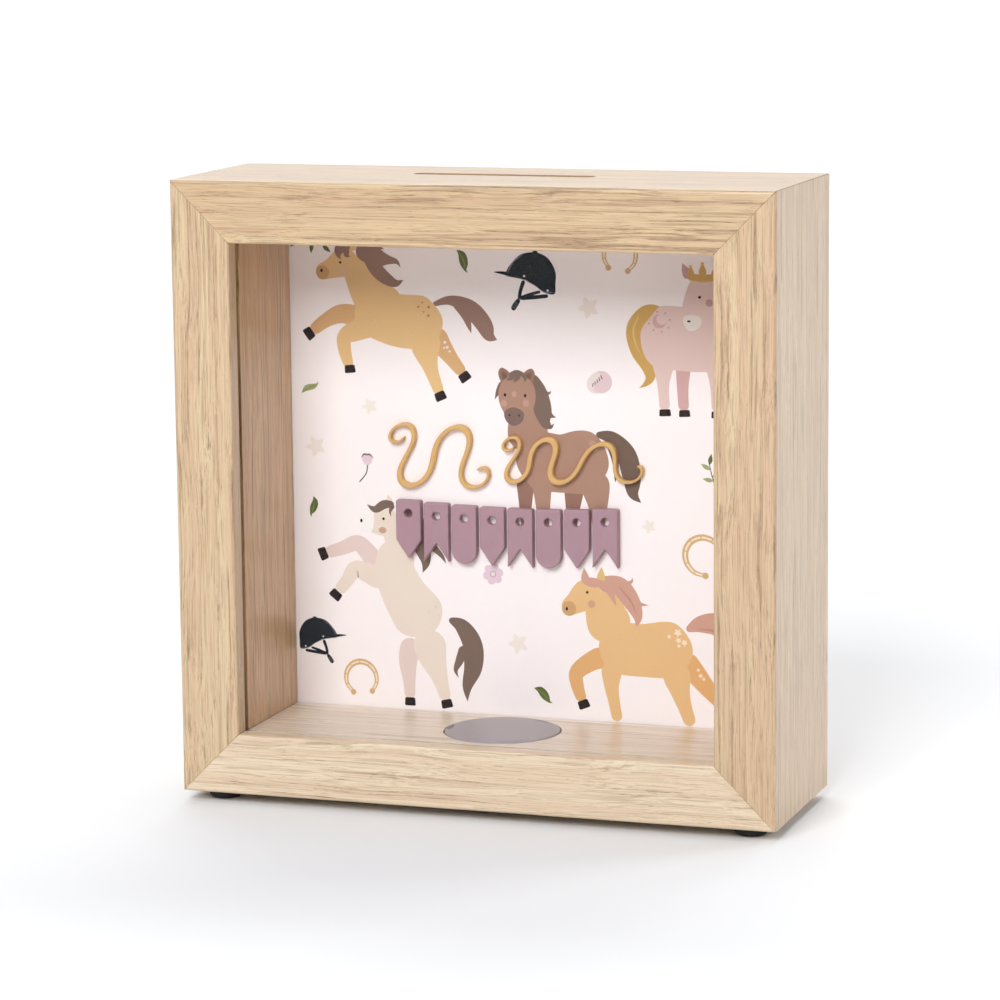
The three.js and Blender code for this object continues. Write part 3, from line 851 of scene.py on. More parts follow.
class Motif(Drawing):
    """The card's motifs: ponies in the card's own frame, small things in frames of their own."""

    def pony_jumping(self) -> None:
        """A tan pony in mid jump, its mane and tail streaming back."""
        self.strokes(Ink.MANE_MAUVE,
            ((-22.6, 41.9, 1), (-18, 43, 2.4), (-13, 41.2, 4.2), (-9.6, 37.6, 4.4), (-8, 34.6, 3),
                (-6, 33.6, 0)),
            ((-17, 42, 1.2), (-14.2, 39.6, 2.4), (-13.3, 37, 1.3), (-12.7, 35, 0)))
        self.leg(Ink.TAN_SHADE, (-54.5, 34.4, -56.3, 33.1, 2.9), (-41, 38.2, 5.4),
            (-46.5, 38.9, 4.8), (-50.6, 37.3, 3.6), (-54.8, 34.3, 2.8))
        self.leg(Ink.TAN_SHADE, (-15.2, 25.1, -13.9, 23.3, 2.8), (-23, 35.5, 7), (-20.6, 32, 5.2),
            (-17.8, 28.4, 3.6), (-14.9, 24.9, 2.8))
        self.strokes(Ink.TAN,
            ((-43.2, 38.4, 7), (-39, 39, 11.2), (-31.5, 37.6, 13.2), (-25, 37.4, 13),
                (-20.1, 37.8, 9.4)),
            ((-35.5, 39.5, 11), (-38.8, 44, 10.4), (-41.8, 49, 8.2), (-44.2, 53.2, 6)),
            ((-38.6, 46.5, 6.5), (-35.4, 42.6, 8), (-31, 40.4, 8)))
        self.leg(Ink.TAN, (-21.4, 20.2, -20.5, 18.2, 2.7), (-24.5, 35.5, 11), (-24.6, 31, 7.6),
            (-23.4, 26, 3.9), (-21.1, 19.8, 2.7))
        self.leg(Ink.TAN, (-44.8, 26.2, -44.6, 24.2, 2.6), (-37.5, 37, 6.5), (-43, 34.8, 5.2),
            (-46, 32.9, 4), (-45.9, 29.4, 3.3), (-44.8, 25.6, 2.5))
        self.stroke(Ink.TAN, (-42.6, 53.4, 5.2), (-46.2, 51.6, 6.9), (-49.6, 50, 4.8),
            (-53.2, 48.9, 3.6))
        self.dots(Ink.MUZZLE, (-51.5, 49.1, 1.75))
        self.strokes(Ink.MANE_MAUVE,
            ((-42, 56.3, 1.8), (-38.6, 56.1, 2.6), (-35.2, 55.3, 0)),
            ((-42.4, 55.6, 4.6), (-37.4, 53.2, 4.8), (-34.2, 52.6, 2.3), (-32, 52.2, 1.1),
                (-31, 50.9, 0)),
            ((-39.6, 53.2, 2.8), (-37.5, 50.4, 3.5), (-35.1, 48.2, 3.2), (-32.4, 46.9, 2),
                (-30.2, 47.7, 0)))
        self.stroke(Ink.TAN, (-43.9, 54.6, 2.6), (-43.6, 57, 2), (-44.2, 59.2, 0))
        self.strokes(Ink.MANE_MAUVE,
            ((-44.2, 56, 2.2), (-46.8, 55, 2.8), (-47.2, 53.3, 1.1), (-46.4, 52.5, 0)),
            ((-44.8, 55, 1.6), (-45.2, 53.6, 1.2), (-44, 53.2, 0)))
        self.dots(Ink.CHEEK, (-46.1, 49.4, 0.92))
        self.dots(Ink.BLACK, (-46.8, 51.7, 0.32), (-51.8, 49.6, 0.3, 1.5))
        self.dots(Ink.SPOT, (-26.4, 41.2, 0.3), (-23.7, 41.2, 0.34), (-23.8, 39.1, 0.32),
            (-25.4, 42.3, 0.24), (-25, 40, 0.22))
        self.dots(Ink.OFF_WHITE, (-19.6, 32.6, 0.34), (-19, 31.4, 0.4), (-18.4, 30.4, 0.28),
            (-19.8, 31.2, 0.22))

    def pony_crowned(self) -> None:
        """A pink pony looking back over its shoulder, with a golden tail and a small crown."""
        self.leg(Ink.ROSE_SHADE, (41.6, 18, 41.7, 16.3, 2.6), (41.6, 32, 4.6), (41.2, 24, 3),
            (41.5, 17.8, 2.6))
        self.leg(Ink.ROSE_SHADE, (54.6, 18, 54.7, 16.3, 2.6), (54.2, 32, 4.6), (54.4, 24, 3),
            (54.6, 17.8, 2.6))
        self.stroke(Ink.GOLD, (36.2, 41.4, 3), (32.4, 41.2, 4.2), (29.6, 37.4, 5),
            (30.2, 32.6, 4.6), (32.5, 28.6, 3.8), (33, 25.6, 2.4), (31.6, 23.8, 1), (30.2, 23, 0))
        self.stroke(Ink.GOLD_LIGHT, (30.2, 40.6, 0.2), (28.8, 37, 0.5), (29.6, 33.2, 0.3),
            (31.2, 30.6, 0))
        self.stroke(Ink.ROSE, (30.7, 36.6, 9), (34.6, 35.8, 14.6), (41, 35.3, 15.6),
            (49, 35.6, 15.4), (57, 37, 9))
        self.leg(Ink.ROSE, (36.7, 18, 36.8, 16.3, 2.7), (36.4, 31.5, 7.4), (36.3, 24.5, 3.2),
            (36.7, 17.8, 2.6))
        self.leg(Ink.ROSE, (49.8, 18, 49.9, 16.3, 2.7), (49.3, 31.5, 6.4), (49.6, 24.5, 3.2),
            (49.8, 17.8, 2.6))
        self.stroke(Ink.ROSE, (53.5, 38, 11), (52.2, 44, 9.2), (49, 48.6, 7.6))
        self.stroke(Ink.GOLD, (50.5, 50.5, 2.2), (54.6, 47.5, 4.4), (55.8, 42.5, 3.6),
            (58.2, 39, 0))
        self.strokes(Ink.ROSE_DEEP,
            ((42.9, 50, 2.6), (41.9, 52, 1.8), (41.2, 53.6, 0)),
            ((49.8, 50, 2.6), (51, 52, 1.8), (51.6, 53.6, 0)))
        self.stroke(Ink.ROSE, (46.8, 50.8, 6.8), (46.4, 47, 8), (45.4, 42.4, 8.6),
            (44.8, 38.2, 7.4))
        self.blob(Ink.OFF_WHITE, (41.3, 39.8), (42.4, 41.1), (45.2, 40.9), (46, 39.4), (44.8, 37.7),
            (42.6, 37.4))
        self.stroke(Ink.GOLD, (42.6, 50.4, 1.8), (46, 50, 1.9), (49.8, 50.3, 1.8))
        for x, z in ((43.2, 53), (46.2, 53.8), (49.3, 53)):
            self.stroke(Ink.GOLD, (x, 50.6, 2.2), (x, (z + 50.6) / 2, 1.5), (x, z, 0))
            self.dot(Ink.GOLD_LIGHT, x, z - 0.2, 0.42)
        self.stroke(Ink.GOLD_LIGHT, (42.9, 49.6, 0.3), (46, 49.2, 0.35), (49.5, 49.5, 0.3))
        self.dots(Ink.BLACK, (45.5, 45.5, 0.36))
        self.dots(Ink.ROSE_DEEP, (47.9, 44.2, 0.9))
        self.dots(Ink.BLACK, (42.8, 39.6, 0.42, 0.6))
        self.dots(Ink.ROSE_SHADE, (35.4, 39.4, 1.7))
        self.dots(Ink.ROSE, (36, 39.9, 1.35))
        for turn in range(8):
            angle = math.radians(45 * turn + 12)
            x, z = 35.4 + 2.7 * math.cos(angle), 39.3 + 2.5 * math.sin(angle)
            self.dot(Ink.ROSE_DEEP, x, z, 0.22)

    def pony_facing(self) -> None:
        """A brown pony standing side on with its head turned to the front."""
        self.strokes(Ink.MANE_DARK,
            ((19.2, 11.2, 1.2), (23.2, 10.4, 3.4), (26.8, 6.6, 5), (28.2, 1.4, 4.8),
                (28.6, -3, 2.8), (30.6, -5.3, 0)),
            ((22.6, 8.8, 1.6), (24, 5, 1.7), (24.2, 1.8, 1.1), (24, -0.6, 0)))
        self.leg(Ink.BAY_SHADE, (12.7, -14.8, 12.7, -16.5, 2.2), (13.6, -1.5, 5.6), (13, -9, 3.2),
            (12.7, -15, 2.4))
        self.leg(Ink.BAY_SHADE, (1.1, -14.7, 1.1, -16.4, 2), (1, 0, 5.2), (0.9, -8, 3.1),
            (1.1, -14.8, 2.2))
        self.stroke(Ink.BAY, (-1.4, 4, 11), (3.2, 4.2, 14.6), (10, 3.6, 14.4), (16.6, 4.2, 15.6),
            (22.4, 3.8, 10.4))
        self.leg(Ink.BAY, (19.8, -14.8, 19.8, -16.5, 2.4), (18.2, 1.8, 10), (19.3, -4, 6.4),
            (19.7, -9, 3.9), (19.8, -15, 2.6))
        self.leg(Ink.BAY, (5.6, -14.8, 5.6, -16.5, 2.3), (5.2, -0.5, 5.4), (5.5, -9, 3.3),
            (5.6, -15, 2.5))
        self.stroke(Ink.BAY, (1.9, 6, 11.6), (1.6, 12, 10.2), (1, 17, 9.4))
        self.strokes(Ink.MANE_BROWN,
            ((2.6, 25.2, 2.4), (4.6, 21, 4.2), (5.6, 16.5, 4.6), (6.2, 13.2, 2.2), (7.4, 12, 0)),
            ((4.6, 23, 2.2), (6.2, 21.2, 1), (7.3, 20.9, 0.6), (7.7, 21.6, 0)),
            ((6, 18.6, 2.6), (7.2, 15.8, 1.6), (9, 14.9, 0)),
            ((6.2, 14.2, 2), (7.4, 12.6, 1.2), (8.5, 13.4, 0)),
            ((-4.8, 23.2, 1.5), (-5.9, 20.9, 1.1), (-6.8, 18.8, 0)))
        for x, way in ((-3.3, -1), (1.1, 1)):
            self.stroke(Ink.BAY_SHADE, (x, 22.8, 2.6), (x + 0.7 * way, 24.4, 3),
                (x + 1.4 * way, 25.8, 2.4), (x + 1.7 * way, 26.8, 0.7))
            self.stroke(Ink.MANE_DARK, (x + 0.4 * way, 23.8, 1), (x + 1.0 * way, 25, 1.3),
                (x + 1.3 * way, 25.8, 0.8))
        self.blob(Ink.BAY, (-4.9, 23.2), (-1.2, 25.4), (2.7, 23.6), (3.8, 19.6), (2.2, 15.6),
            (-1.6, 12.9), (-4.6, 16), (-5.8, 19.6))
        self.blob(Ink.MUZZLE_DARK, (-4.3, 15.9), (-1.9, 17.1), (0.6, 15.9), (0.3, 13.7),
            (-1.8, 12.5), (-3.8, 13.6))
        self.strokes(Ink.MANE_BROWN,
            ((-3, 25.1, 0.8), (-1, 25.7, 1.3), (1.2, 25.1, 0.7)),
            ((-1.6, 25.7, 1.4), (-2.4, 24.4, 1.3), (-3.8, 23.8, 0)),
            ((-0.6, 25.6, 1.6), (-0.9, 24.4, 1.2), (-2, 23.2, 0)),
            ((0.5, 25.4, 1.3), (1.2, 24.4, 0.9), (0.8, 23.4, 0)))
        self.dots(Ink.BAY_LIGHT, (-4.4, 18, 0.85), (1.3, 18.2, 0.85), (-1.7, 20.4, 0.62, 1.2))
        self.dots(Ink.BLACK, (-4.1, 20.1, 0.34, 1.15), (1.1, 20.1, 0.34, 1.15), (-3, 15.1, 0.24),
            (-0.5, 15.1, 0.24))
        self.dots(Ink.BAY_LIGHT, (18.2, 8.9, 0.8), (17.2, 7.2, 0.6), (19.2, 7.4, 0.5))

    def pony_rearing(self) -> None:
        """A cream pony up on its hind legs."""
        self.strokes(Ink.MANE_BROWN,
            ((-19.4, -36.8, 1.2), (-15.9, -38.6, 4), (-13.3, -43, 5.2), (-13.2, -48.5, 4.8),
                (-14.8, -53.6, 2.6), (-14.8, -57.5, 0)),
            ((-15.4, -43.5, 2.6), (-16.8, -47.2, 2.1), (-17.8, -49.6, 1.1), (-17.1, -51.6, 0)))
        self.leg(Ink.CREAM_SHADE, (-51.7, -21.4, -53.7, -22.2, 3), (-38, -24.5, 5.6),
            (-41, -20.6, 4.6), (-43.6, -18.7, 4.1), (-47.6, -20.2, 3.4), (-52, -21.6, 3))
        self.leg(Ink.CREAM_SHADE, (-30, -57.3, -30, -59.4, 2.6), (-29.2, -42.2, 5.4),
            (-30.4, -47.5, 5), (-30.2, -53, 3.3), (-30, -57.6, 2.7))
        self.stroke(Ink.CREAM, (-32, -17.5, 8.6), (-33.6, -24.5, 10.6), (-31.4, -30.6, 11.9),
            (-27.5, -36.2, 13.8), (-24.5, -41, 12.2))
        self.leg(Ink.CREAM, (-48.8, -31.3, -50.2, -33, 2.9), (-36, -28, 6.6), (-41.2, -26, 5),
            (-44.2, -25.4, 4.2), (-46.6, -28.6, 3.3), (-49, -31.4, 2.9))
        self.leg(Ink.CREAM, (-20.5, -57.3, -20, -59.4, 2.7), (-25.2, -40, 10.5), (-24.1, -46, 7.9),
            (-22, -52, 4.2), (-20.4, -57.6, 2.8))
        self.stroke(Ink.CREAM, (-32.6, -21, 9), (-31.9, -15, 8.6), (-33.2, -10.6, 7.8))
        self.strokes(Ink.MANE_BROWN,
            ((-30.6, -8.4, 2.2), (-28, -12, 4.2), (-26.8, -17.5, 4.6), (-25.4, -22.3, 2.6),
                (-26.2, -25.4, 0)),
            ((-27.2, -15.5, 2.2), (-23.6, -18.6, 1.8), (-21.2, -20.8, 1.1), (-20, -22.8, 0)))
        self.strokes(Ink.CREAM,
            ((-34.6, -8.8, 2), (-34.9, -7.2, 1.4), (-35.3, -6, 0)),
            ((-32.8, -11.4, 7.4), (-36.4, -12.6, 7.9), (-39.4, -13, 6), (-41.4, -13.2, 4.6)))
        self.blob(Ink.WHITE, (-39.4, -10.4), (-38.9, -13.2), (-39.8, -15.6), (-42, -15.4),
            (-43.6, -13.2), (-42.4, -10.9))
        self.strokes(Ink.MANE_BROWN,
            ((-33.6, -8.4, 1.4), (-36.2, -8.6, 2.2), (-38.6, -9.9, 1.7), (-40.8, -8.8, 0)),
            ((-33.8, -8.6, 1.4), (-34.6, -10.2, 0.7), (-34.4, -11.6, 0)))
        self.dots(Ink.BLACK, (-36.4, -12.2, 0.34))
        self.dots(Ink.CHEEK_BROWN, (-36.7, -15.1, 1, 0.8))
        self.dots(Ink.BLACK, (-42.3, -12.9, 0.3, 1.6))
        self.dots(Ink.CREAM_SHADE, (-22.8, -33.8, 0.42), (-24.6, -35.2, 0.3), (-22, -36, 0.26))

    def pony_trotting(self) -> None:
        """A honey-coloured pony at a trot, with star marks on its quarters."""
        self.stroke(Ink.MANE_PEACH, (42, -36.2, 1.2), (45.6, -34.6, 4.2), (50, -34.6, 5.6),
            (54, -38, 5), (56.4, -43, 3.2), (58.2, -47, 0))
        self.stroke(Ink.MANE_PEACH_SHADE, (44.6, -35.8, 0.2), (50, -36.4, 0.6), (54.2, -40.6, 0))
        self.leg(Ink.HONEY_SHADE, (15.2, -55.3, 16, -57.3, 2.7), (22, -43.6, 6), (17.6, -45.4, 4.8),
            (13.9, -48.4, 3.9), (14, -51.8, 3.3), (15.3, -55.6, 2.6))
        self.leg(Ink.HONEY_SHADE, (52.2, -55.6, 53.5, -57.2, 2.7), (41.4, -42.4, 4.6),
            (44.9, -47.6, 5), (49.2, -52.6, 3.5), (52.4, -55.8, 2.7))
        self.strokes(Ink.HONEY,
            ((19.6, -41.2, 8), (24.2, -41.6, 12.8), (31, -41.9, 13.2), (38, -41.4, 14),
                (43.6, -41.2, 10)),
            ((23.9, -40, 13.6), (22, -35, 11.4), (20.4, -30.2, 9), (19.6, -27.8, 7.4)),
            ((22.9, -45.5, 6.6), (22.8, -51, 3.9), (23.4, -55, 3), (24.4, -60, 2.7)),
            ((39, -45, 10), (40.2, -51, 5.4), (41.6, -55.6, 3.6), (43.2, -60, 3)))
        self.strokes(Ink.MANE_PEACH,
            ((19.6, -25.9, 3.6), (24.8, -26.2, 4.8), (28, -29.8, 4.4), (29.6, -33.6, 2.4),
                (29.2, -36.2, 0)),
            ((23.8, -24.9, 2), (26.8, -25.4, 1.2), (28.1, -24.8, 0.7), (28.3, -23.8, 0)),
            ((27.8, -28.2, 2.4), (29.8, -30.2, 1.3), (32.4, -30.6, 0)))
        self.stroke(Ink.MANE_PEACH_SHADE, (24.8, -26.2, 0.2), (28, -30, 0.5), (29.4, -33.6, 0))
        self.stroke(Ink.GOLD_LIGHT, (20.2, -25.6, 2.4), (20.3, -23.6, 1.8), (20.4, -21.6, 0))
        self.stroke(Ink.MANE_PEACH, (16.4, -25.8, 2.4), (16.1, -24, 1.8), (15.9, -22, 0))
        self.stroke(Ink.HONEY, (20.2, -27.4, 6.2), (16.6, -28.8, 7.8), (13.2, -31.2, 5.2),
            (10.4, -32.9, 3.8))
        self.dots(Ink.MUZZLE, (12, -32.4, 1.85))
        self.strokes(Ink.MANE_PEACH,
            ((15.4, -25.2, 1.4), (18, -25.6, 2.4), (20.6, -25.8, 1.6), (21.6, -26.8, 0)),
            ((21.4, -26, 1.8), (23, -28.6, 1.5), (24.2, -31.4, 0)))
        self.dots(Ink.BLACK, (16.7, -28.1, 0.34))
        self.dots(Ink.BLUSH, (17.8, -31, 0.95))
        self.dots(Ink.BLACK, (11.4, -32.5, 0.28, 1.7))
        self.stars(Ink.STAR_MARK, (39.8, -37, 1.05), (37.6, -38.1, 0.55), (40, -38.9, 0.8),
            (41.5, -39.4, 0.85), (40.1, -40.3, 0.5), (45, -46, 0.5), (45.6, -47.4, 0.6),
            (46.4, -48.2, 0.5))

    def riding_hat(self) -> None:
        """A navy riding hat seen from the side, with its harness and buckle."""
        self.strokes(Ink.NAVY,
            ((2.2, -3.2, 0.7), (-0.5, -4, 0.8), (-3.2, -5, 0.8)),
            ((-2, -0.6, 1), (-2.9, -3.2, 0.9), (-3.2, -5.2, 0.9)),
            ((-3, -4.9, 1.1), (0.8, -4.6, 1), (4.2, -4.2, 0.9)),
            ((-3.2, -5.2, 1), (-4.2, -6.6, 1.3), (-5, -7.9, 1.2)))
        for k in range(3):
            self.stroke(Ink.NAVY_EDGE, (-4.3 - 0.35 * k, -6.0 - 0.55 * k, 0.14),
                (-3.3 - 0.35 * k, -6.5 - 0.55 * k, 0.14), steps=8)
        self.stroke(Ink.NAVY, (-9.6, 1.3, 0.2), (-7.2, 1.1, 0.8), (-4, 0.5, 1.1), (0.2, -0.2, 0.8))
        self.blob(Ink.NAVY, (-6.5, 1), (-5.3, 3.4), (-2.6, 5.8), (1.2, 6.3), (4.2, 5), (6.1, 1.8),
            (6.1, -1.2), (5.8, -3.7), (3.2, -3.4), (1, -1.9), (-1.6, -0.4), (-4.4, 0.3))
        self.stroke(Ink.NAVY, (0.2, 6.2, 1), (1.6, 6.3, 0.9), steps=12)
        self.strokes(Ink.NAVY_EDGE,
            ((-6.1, 1.2, 0.1), (-4.7, 3.8, 0.28), (-2, 5.9, 0.1)),
            ((-6.6, 0.3, 0.1), (-3, -0.1, 0.16), (0.6, -1.6, 0.16), (3, -3.2, 0.16),
                (5.6, -3.4, 0.1)))
        self.dots(Ink.OFF_WHITE, (-1.9, 0.5, 0.26), (4.1, -2.9, 0.26))

    def horseshoe(self) -> None:
        """A golden horseshoe with its ends down: most of a circle, widest at the toe."""
        angle = np.radians(np.linspace(-52, 232, 9))
        arc = [(4.1 * math.cos(a), 4.3 * math.sin(a), 1.15 + 0.35 * math.sin(a)) for a in angle]
        self.stroke(Ink.SHOE, *arc, steps=72)
        self.stroke(Ink.SHOE_LIGHT, *((x, z, 0.42) for x, z, _ in arc), steps=72)
        for x, z, _ in arc[1:-1]:
            self.stroke(Ink.SHOE, (x * 0.95, z * 0.95, 0.3), (x * 1.06, z * 1.06, 0.3), steps=8)
        for x, z, _ in (arc[0], arc[-1]):
            self.dot(Ink.SHOE, x, z, 0.72)

    def pale_star(self) -> None:
        """A star of unit radius."""
        self.star(Ink.STAR, 0, 0, 1.0, 78)

    def leaf(self) -> None:
        """A curled leaf with a short stalk."""
        self.stroke(Ink.LEAF, (-3, 0.2, 0), (-1.2, 0.7, 1.9), (0.8, 0.1, 2.1), (2.4, -0.5, 0.6),
            (3.2, -0.3, 0.15))
        self.stroke(Ink.LEAF_PALE, (-2.2, 0.4, 0.05), (0.2, 0.35, 0.16), (2.2, -0.4, 0.05))

    def pale_leaf(self) -> None:
        """A curled leaf in pale green."""
        self.stroke(Ink.LEAF_PALE, (-2.8, -0.6, 0), (-1, 0.3, 1.5), (1, 0.2, 1.4), (2.2, 0.5, 0.5),
            (2.7, 1.1, 0.1))
        self.stroke(Ink.LEAF, (-2, -0.2, 0.05), (0.2, 0.3, 0.14), (2, 0.4, 0.05))

    def sprig(self) -> None:
        """A stalk with five leaves."""
        self.stroke(Ink.STEM, (-4.2, -1.8, 0.3), (0, -0.4, 0.28), (4.4, 0, 0.2))
        for x, z, turn in ((-2.2, -1.1, -120), (0.2, -0.4, 70), (1.4, -0.3, -75), (3, -0.1, 50),
                           (4.2, 0, -20)):
            c, s = math.cos(math.radians(turn)), math.sin(math.radians(turn))
            ink = Ink.LEAF_PALE if turn > 0 else Ink.LEAF
            self.stroke(ink, (x, z, 0.1), (x + 1.3 * c, z + 1.3 * s, 1.1),
                (x + 2.9 * c, z + 2.9 * s, 0), steps=24)

    def pompon(self) -> None:
        """A two-coloured woollen ball."""
        self.dots(Ink.POMPON_PALE, (-0.9, -0.5, 2.3))
        self.dots(Ink.POMPON, (0.5, 0.1, 2.75))
        self.stroke(Ink.POMPON_PALE, (-2.4, -2, 1.6), (-1.6, 0.6, 2.2), (0.2, 2.2, 1.4))
        for k in range(5):
            x, z = -1.7 + 0.62 * k, -1.2 + 0.5 * k
            self.stroke(Ink.HOOF, (x, z, 0.2), (x + 0.15 - 0.14 * k, z + 1.0, 0.2), steps=8)

    def bud(self) -> None:
        """A pink bud on a bent stalk."""
        self.stroke(Ink.STEM, (0.1, -1.4, 0.3), (-0.4, -3.6, 0.3), (-2.2, -5.8, 0.3))
        self.blob(Ink.PETAL, (-1.5, 0.6), (-0.6, 1.5), (0.8, 1.4), (1.4, 0.2), (0.7, -1.2),
            (-0.7, -1.2))
        self.strokes(Ink.STEM,
            ((-1.6, 0.4, 0.1), (-0.8, 1.3, 0.4), (0.2, 1, 0.1)),
            ((1.6, 0.4, 0.1), (0.6, 1.3, 0.4), (-0.2, 1, 0.1)))

    def flower(self) -> None:
        """A six-petalled flower."""
        for k in range(6):
            angle = math.radians(60 * k + 15)
            self.dot(Ink.PETAL, 1.65 * math.cos(angle), 1.65 * math.sin(angle), 1.05)
        self.dots(Ink.PETAL, (0, 0, 1.5))
        self.dots(Ink.PETAL_DEEP, (0, 0, 0.85))
        self.dots(Ink.OFF_WHITE, (0, 0, 0.5))


@dataclass
class PrintedCard:
    """The picture on the card: ponies, riding hats, horseshoes, leaves, flowers and stars."""

    material: Material
    card_front: float
    middle: tuple[float, float]
    half_width: float

    def draw(self, name: str, artist: Callable[[Motif], None], *place: float | bool) -> Piece:
        """Makes one drawing as a piece of its own.

        Args:
            name: Name of the piece.
            artist: The motif that lays the inks.
            *place: Fields of its Place, if it is drawn in a frame of its own.

        Returns:
            The piece.
        """
        motif = Motif(self.card_front, self.middle, self.half_width / MM, Place(*place))
        artist(motif)
        return motif.shell.build(f"print_{name}", self.material)

    def build(self) -> list[Piece]:
        """Makes every drawing.

        Returns:
            The pieces.
        """
        return [self.draw(*drawing) for drawing in (
            ("pony_jumping", Motif.pony_jumping),
            ("pony_crowned", Motif.pony_crowned),
            ("pony_facing", Motif.pony_facing),
            ("pony_rearing", Motif.pony_rearing),
            ("pony_trotting", Motif.pony_trotting),
            ("riding_hat_large", Motif.riding_hat, 3, 49),
            ("riding_hat_small", Motif.riding_hat, -54.6, -43.4, 0.8, 0, True),
            ("horseshoe_1", Motif.horseshoe, 25.5, 55, 0.98, -8),
            ("horseshoe_2", Motif.horseshoe, -43, -53.2, 1, 6),
            ("horseshoe_3", Motif.horseshoe, 46.4, -17.8, 1.12, 42),
            ("leaf_1", Motif.leaf, -14.9, 52.9, 1, -58),
            ("leaf_2", Motif.pale_leaf, -55.4, 20, 0.95, 18),
            ("leaf_3", Motif.leaf, -55.3, -9.8, 0.85, -92),
            ("leaf_4", Motif.leaf, 5, -54.6, 0.95, -32),
            ("sprig_1", Motif.sprig, -55.5, 57.4, 1, -20),
            ("sprig_2", Motif.sprig, 48.6, 0.6, 1, 100),
            ("star_1", Motif.pale_star, 17.5, 42.2, 2.9),
            ("star_2", Motif.pale_star, -39.6, 16, 2.2),
            ("star_3", Motif.pale_star, -54.2, 5.4, 2.8),
            ("star_4", Motif.pale_star, 32.6, -11, 1.9),
            ("star_5", Motif.pale_star, -1.3, -42, 2.8),
            ("star_6", Motif.pale_star, 55, 14, 2.4),
            ("pompon", Motif.pompon, 20.1, 24),
            ("bud", Motif.bud, -40.5, 2.6),
            ("flower_1", Motif.flower, -7.7, -24.8),
            ("flower_2", Motif.flower, 55.5, -4.5, 0.8),
        )]


# ---- raised ornaments ----------------------------------------------------------------------------

@dataclass
class Bunting:
    """Eight pennants cut from painted board, with soft edges and an eyelet each."""

    material: Material
    eyelet: float = 1.05 * MM
    bevel: float = 0.28 * MM
    notch: float = 4.6 * MM
    corner: float = 0.5 * MM
    edge_step: float = 0.5 * MM
    bevel_steps: int = 4
    inset: float = 1.25
    tip_bevel: float = 0.02 * MM
    tip_growth: float = 0.22

    def outline(self, half: float, height: float, style: int) -> np.ndarray:
        """The edge of a pennant that hangs from the origin, clockwise from its upper right.

        Args:
            half: Half of its width.
            height: Its height.
            style: 0 for a point, 1 for a swallow tail, 2 for a round end.

        Returns:
            Rows of x and z.
        """
        shoulder = (half, -self.corner)
        cut = self.notch - height
        if style == 0:
            lower = [shoulder, (half, cut), (0, -height), (-half, cut)]
        elif style == 1:
            lower = [shoulder, (half, -height), (0, cut), (-half, -height)]
        else:
            angle = np.linspace(0, -np.pi, 25)
            arc = zip(half * np.cos(angle), half - height + half * np.sin(angle))
            lower = [shoulder, *arc]
        top_left = quarter((self.corner - half, -self.corner), self.corner, 90)[::-1]
        top_right = quarter((half - self.corner, -self.corner), self.corner, 0)[::-1]
        corners = np.concatenate([np.array(lower), top_left, top_right])
        runs = []
        for a, b in zip(corners, np.roll(corners, -1, axis=0)):
            count = max(1, int(np.hypot(*(b - a)) / self.edge_step))
            runs.append(np.linspace(a, b, count, endpoint=False))
        return np.concatenate(runs)

    def pennant(self, name: str, style: int) -> Piece:
        """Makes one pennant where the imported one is.

        Its surface is a ring profile carried round the eyelet: up the eyelet's wall, across the
        face, over a round edge to the side and back behind. The edge's rounding shrinks towards
        a sharp tip, in step with the distance from it.

        Args:
            name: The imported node.
            style: Its lower end, as in outline.

        Returns:
            The piece.
        """
        low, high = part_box(name)
        half, height = (high.x - low.x) / 2, high.z - low.z
        rim = self.outline(half, height, style)
        eye = np.array([0.0, -half])
        ray = rim - eye
        unit = ray / np.hypot(*ray.T)[:, None]
        around = np.roll(rim, -1, axis=0) - np.roll(rim, 1, axis=0)
        normal = np.stack([-around[:, 1], around[:, 0]], axis=1)
        normal /= np.hypot(*normal.T)[:, None]
        normal *= np.sign((normal * unit).sum(axis=1))[:, None]
        soft = np.full(len(rim), self.bevel)
        if style != 2:
            tips = rim[rim[:, 1] < -0.999 * height]
            to_tip = np.hypot(*(rim[:, None] - tips[None]).transpose(2, 0, 1)).min(axis=1)
            soft = np.minimum(self.bevel, self.tip_bevel + self.tip_growth * to_tip)
        curve = [(1 - math.sin(turn), 1 - math.cos(turn))
                 for turn in np.linspace(0, np.pi / 2, self.bevel_steps)]
        wide = soft[:, None]
        rings = [
            (eye + unit * self.eyelet, high.y),
            *((eye + unit * (self.eyelet + self.bevel * out), low.y + self.bevel * drop)
              for drop, out in curve),
            (eye + unit * (self.eyelet + self.inset * self.bevel), low.y),
            (rim - self.inset * wide * normal, low.y),
            *((rim - out * wide * normal, low.y + drop * soft) for out, drop in curve),
            (rim, high.y),
        ]
        centre = (low.x + high.x) / 2
        surface = np.array([
            np.stack([centre + flat[:, 0], depth + 0 * flat[:, 0], high.z + flat[:, 1]], axis=1)
            for flat, depth in rings
        ])
        shell = Shell()
        shell.add_rings(surface, wrap=True)
        piece = shell.build(name + "_painted", self.material, sharp=50)
        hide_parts(name)
        return piece

    def build(self) -> list[Piece]:
        """Makes all pennants, their ends in turn pointed, tailed and round.

        Returns:
            The pieces.
        """
        names = sorted(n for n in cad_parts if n.startswith("bunting_pennant_"))
        return [self.pennant(name, i % 3) for i, name in enumerate(names)]


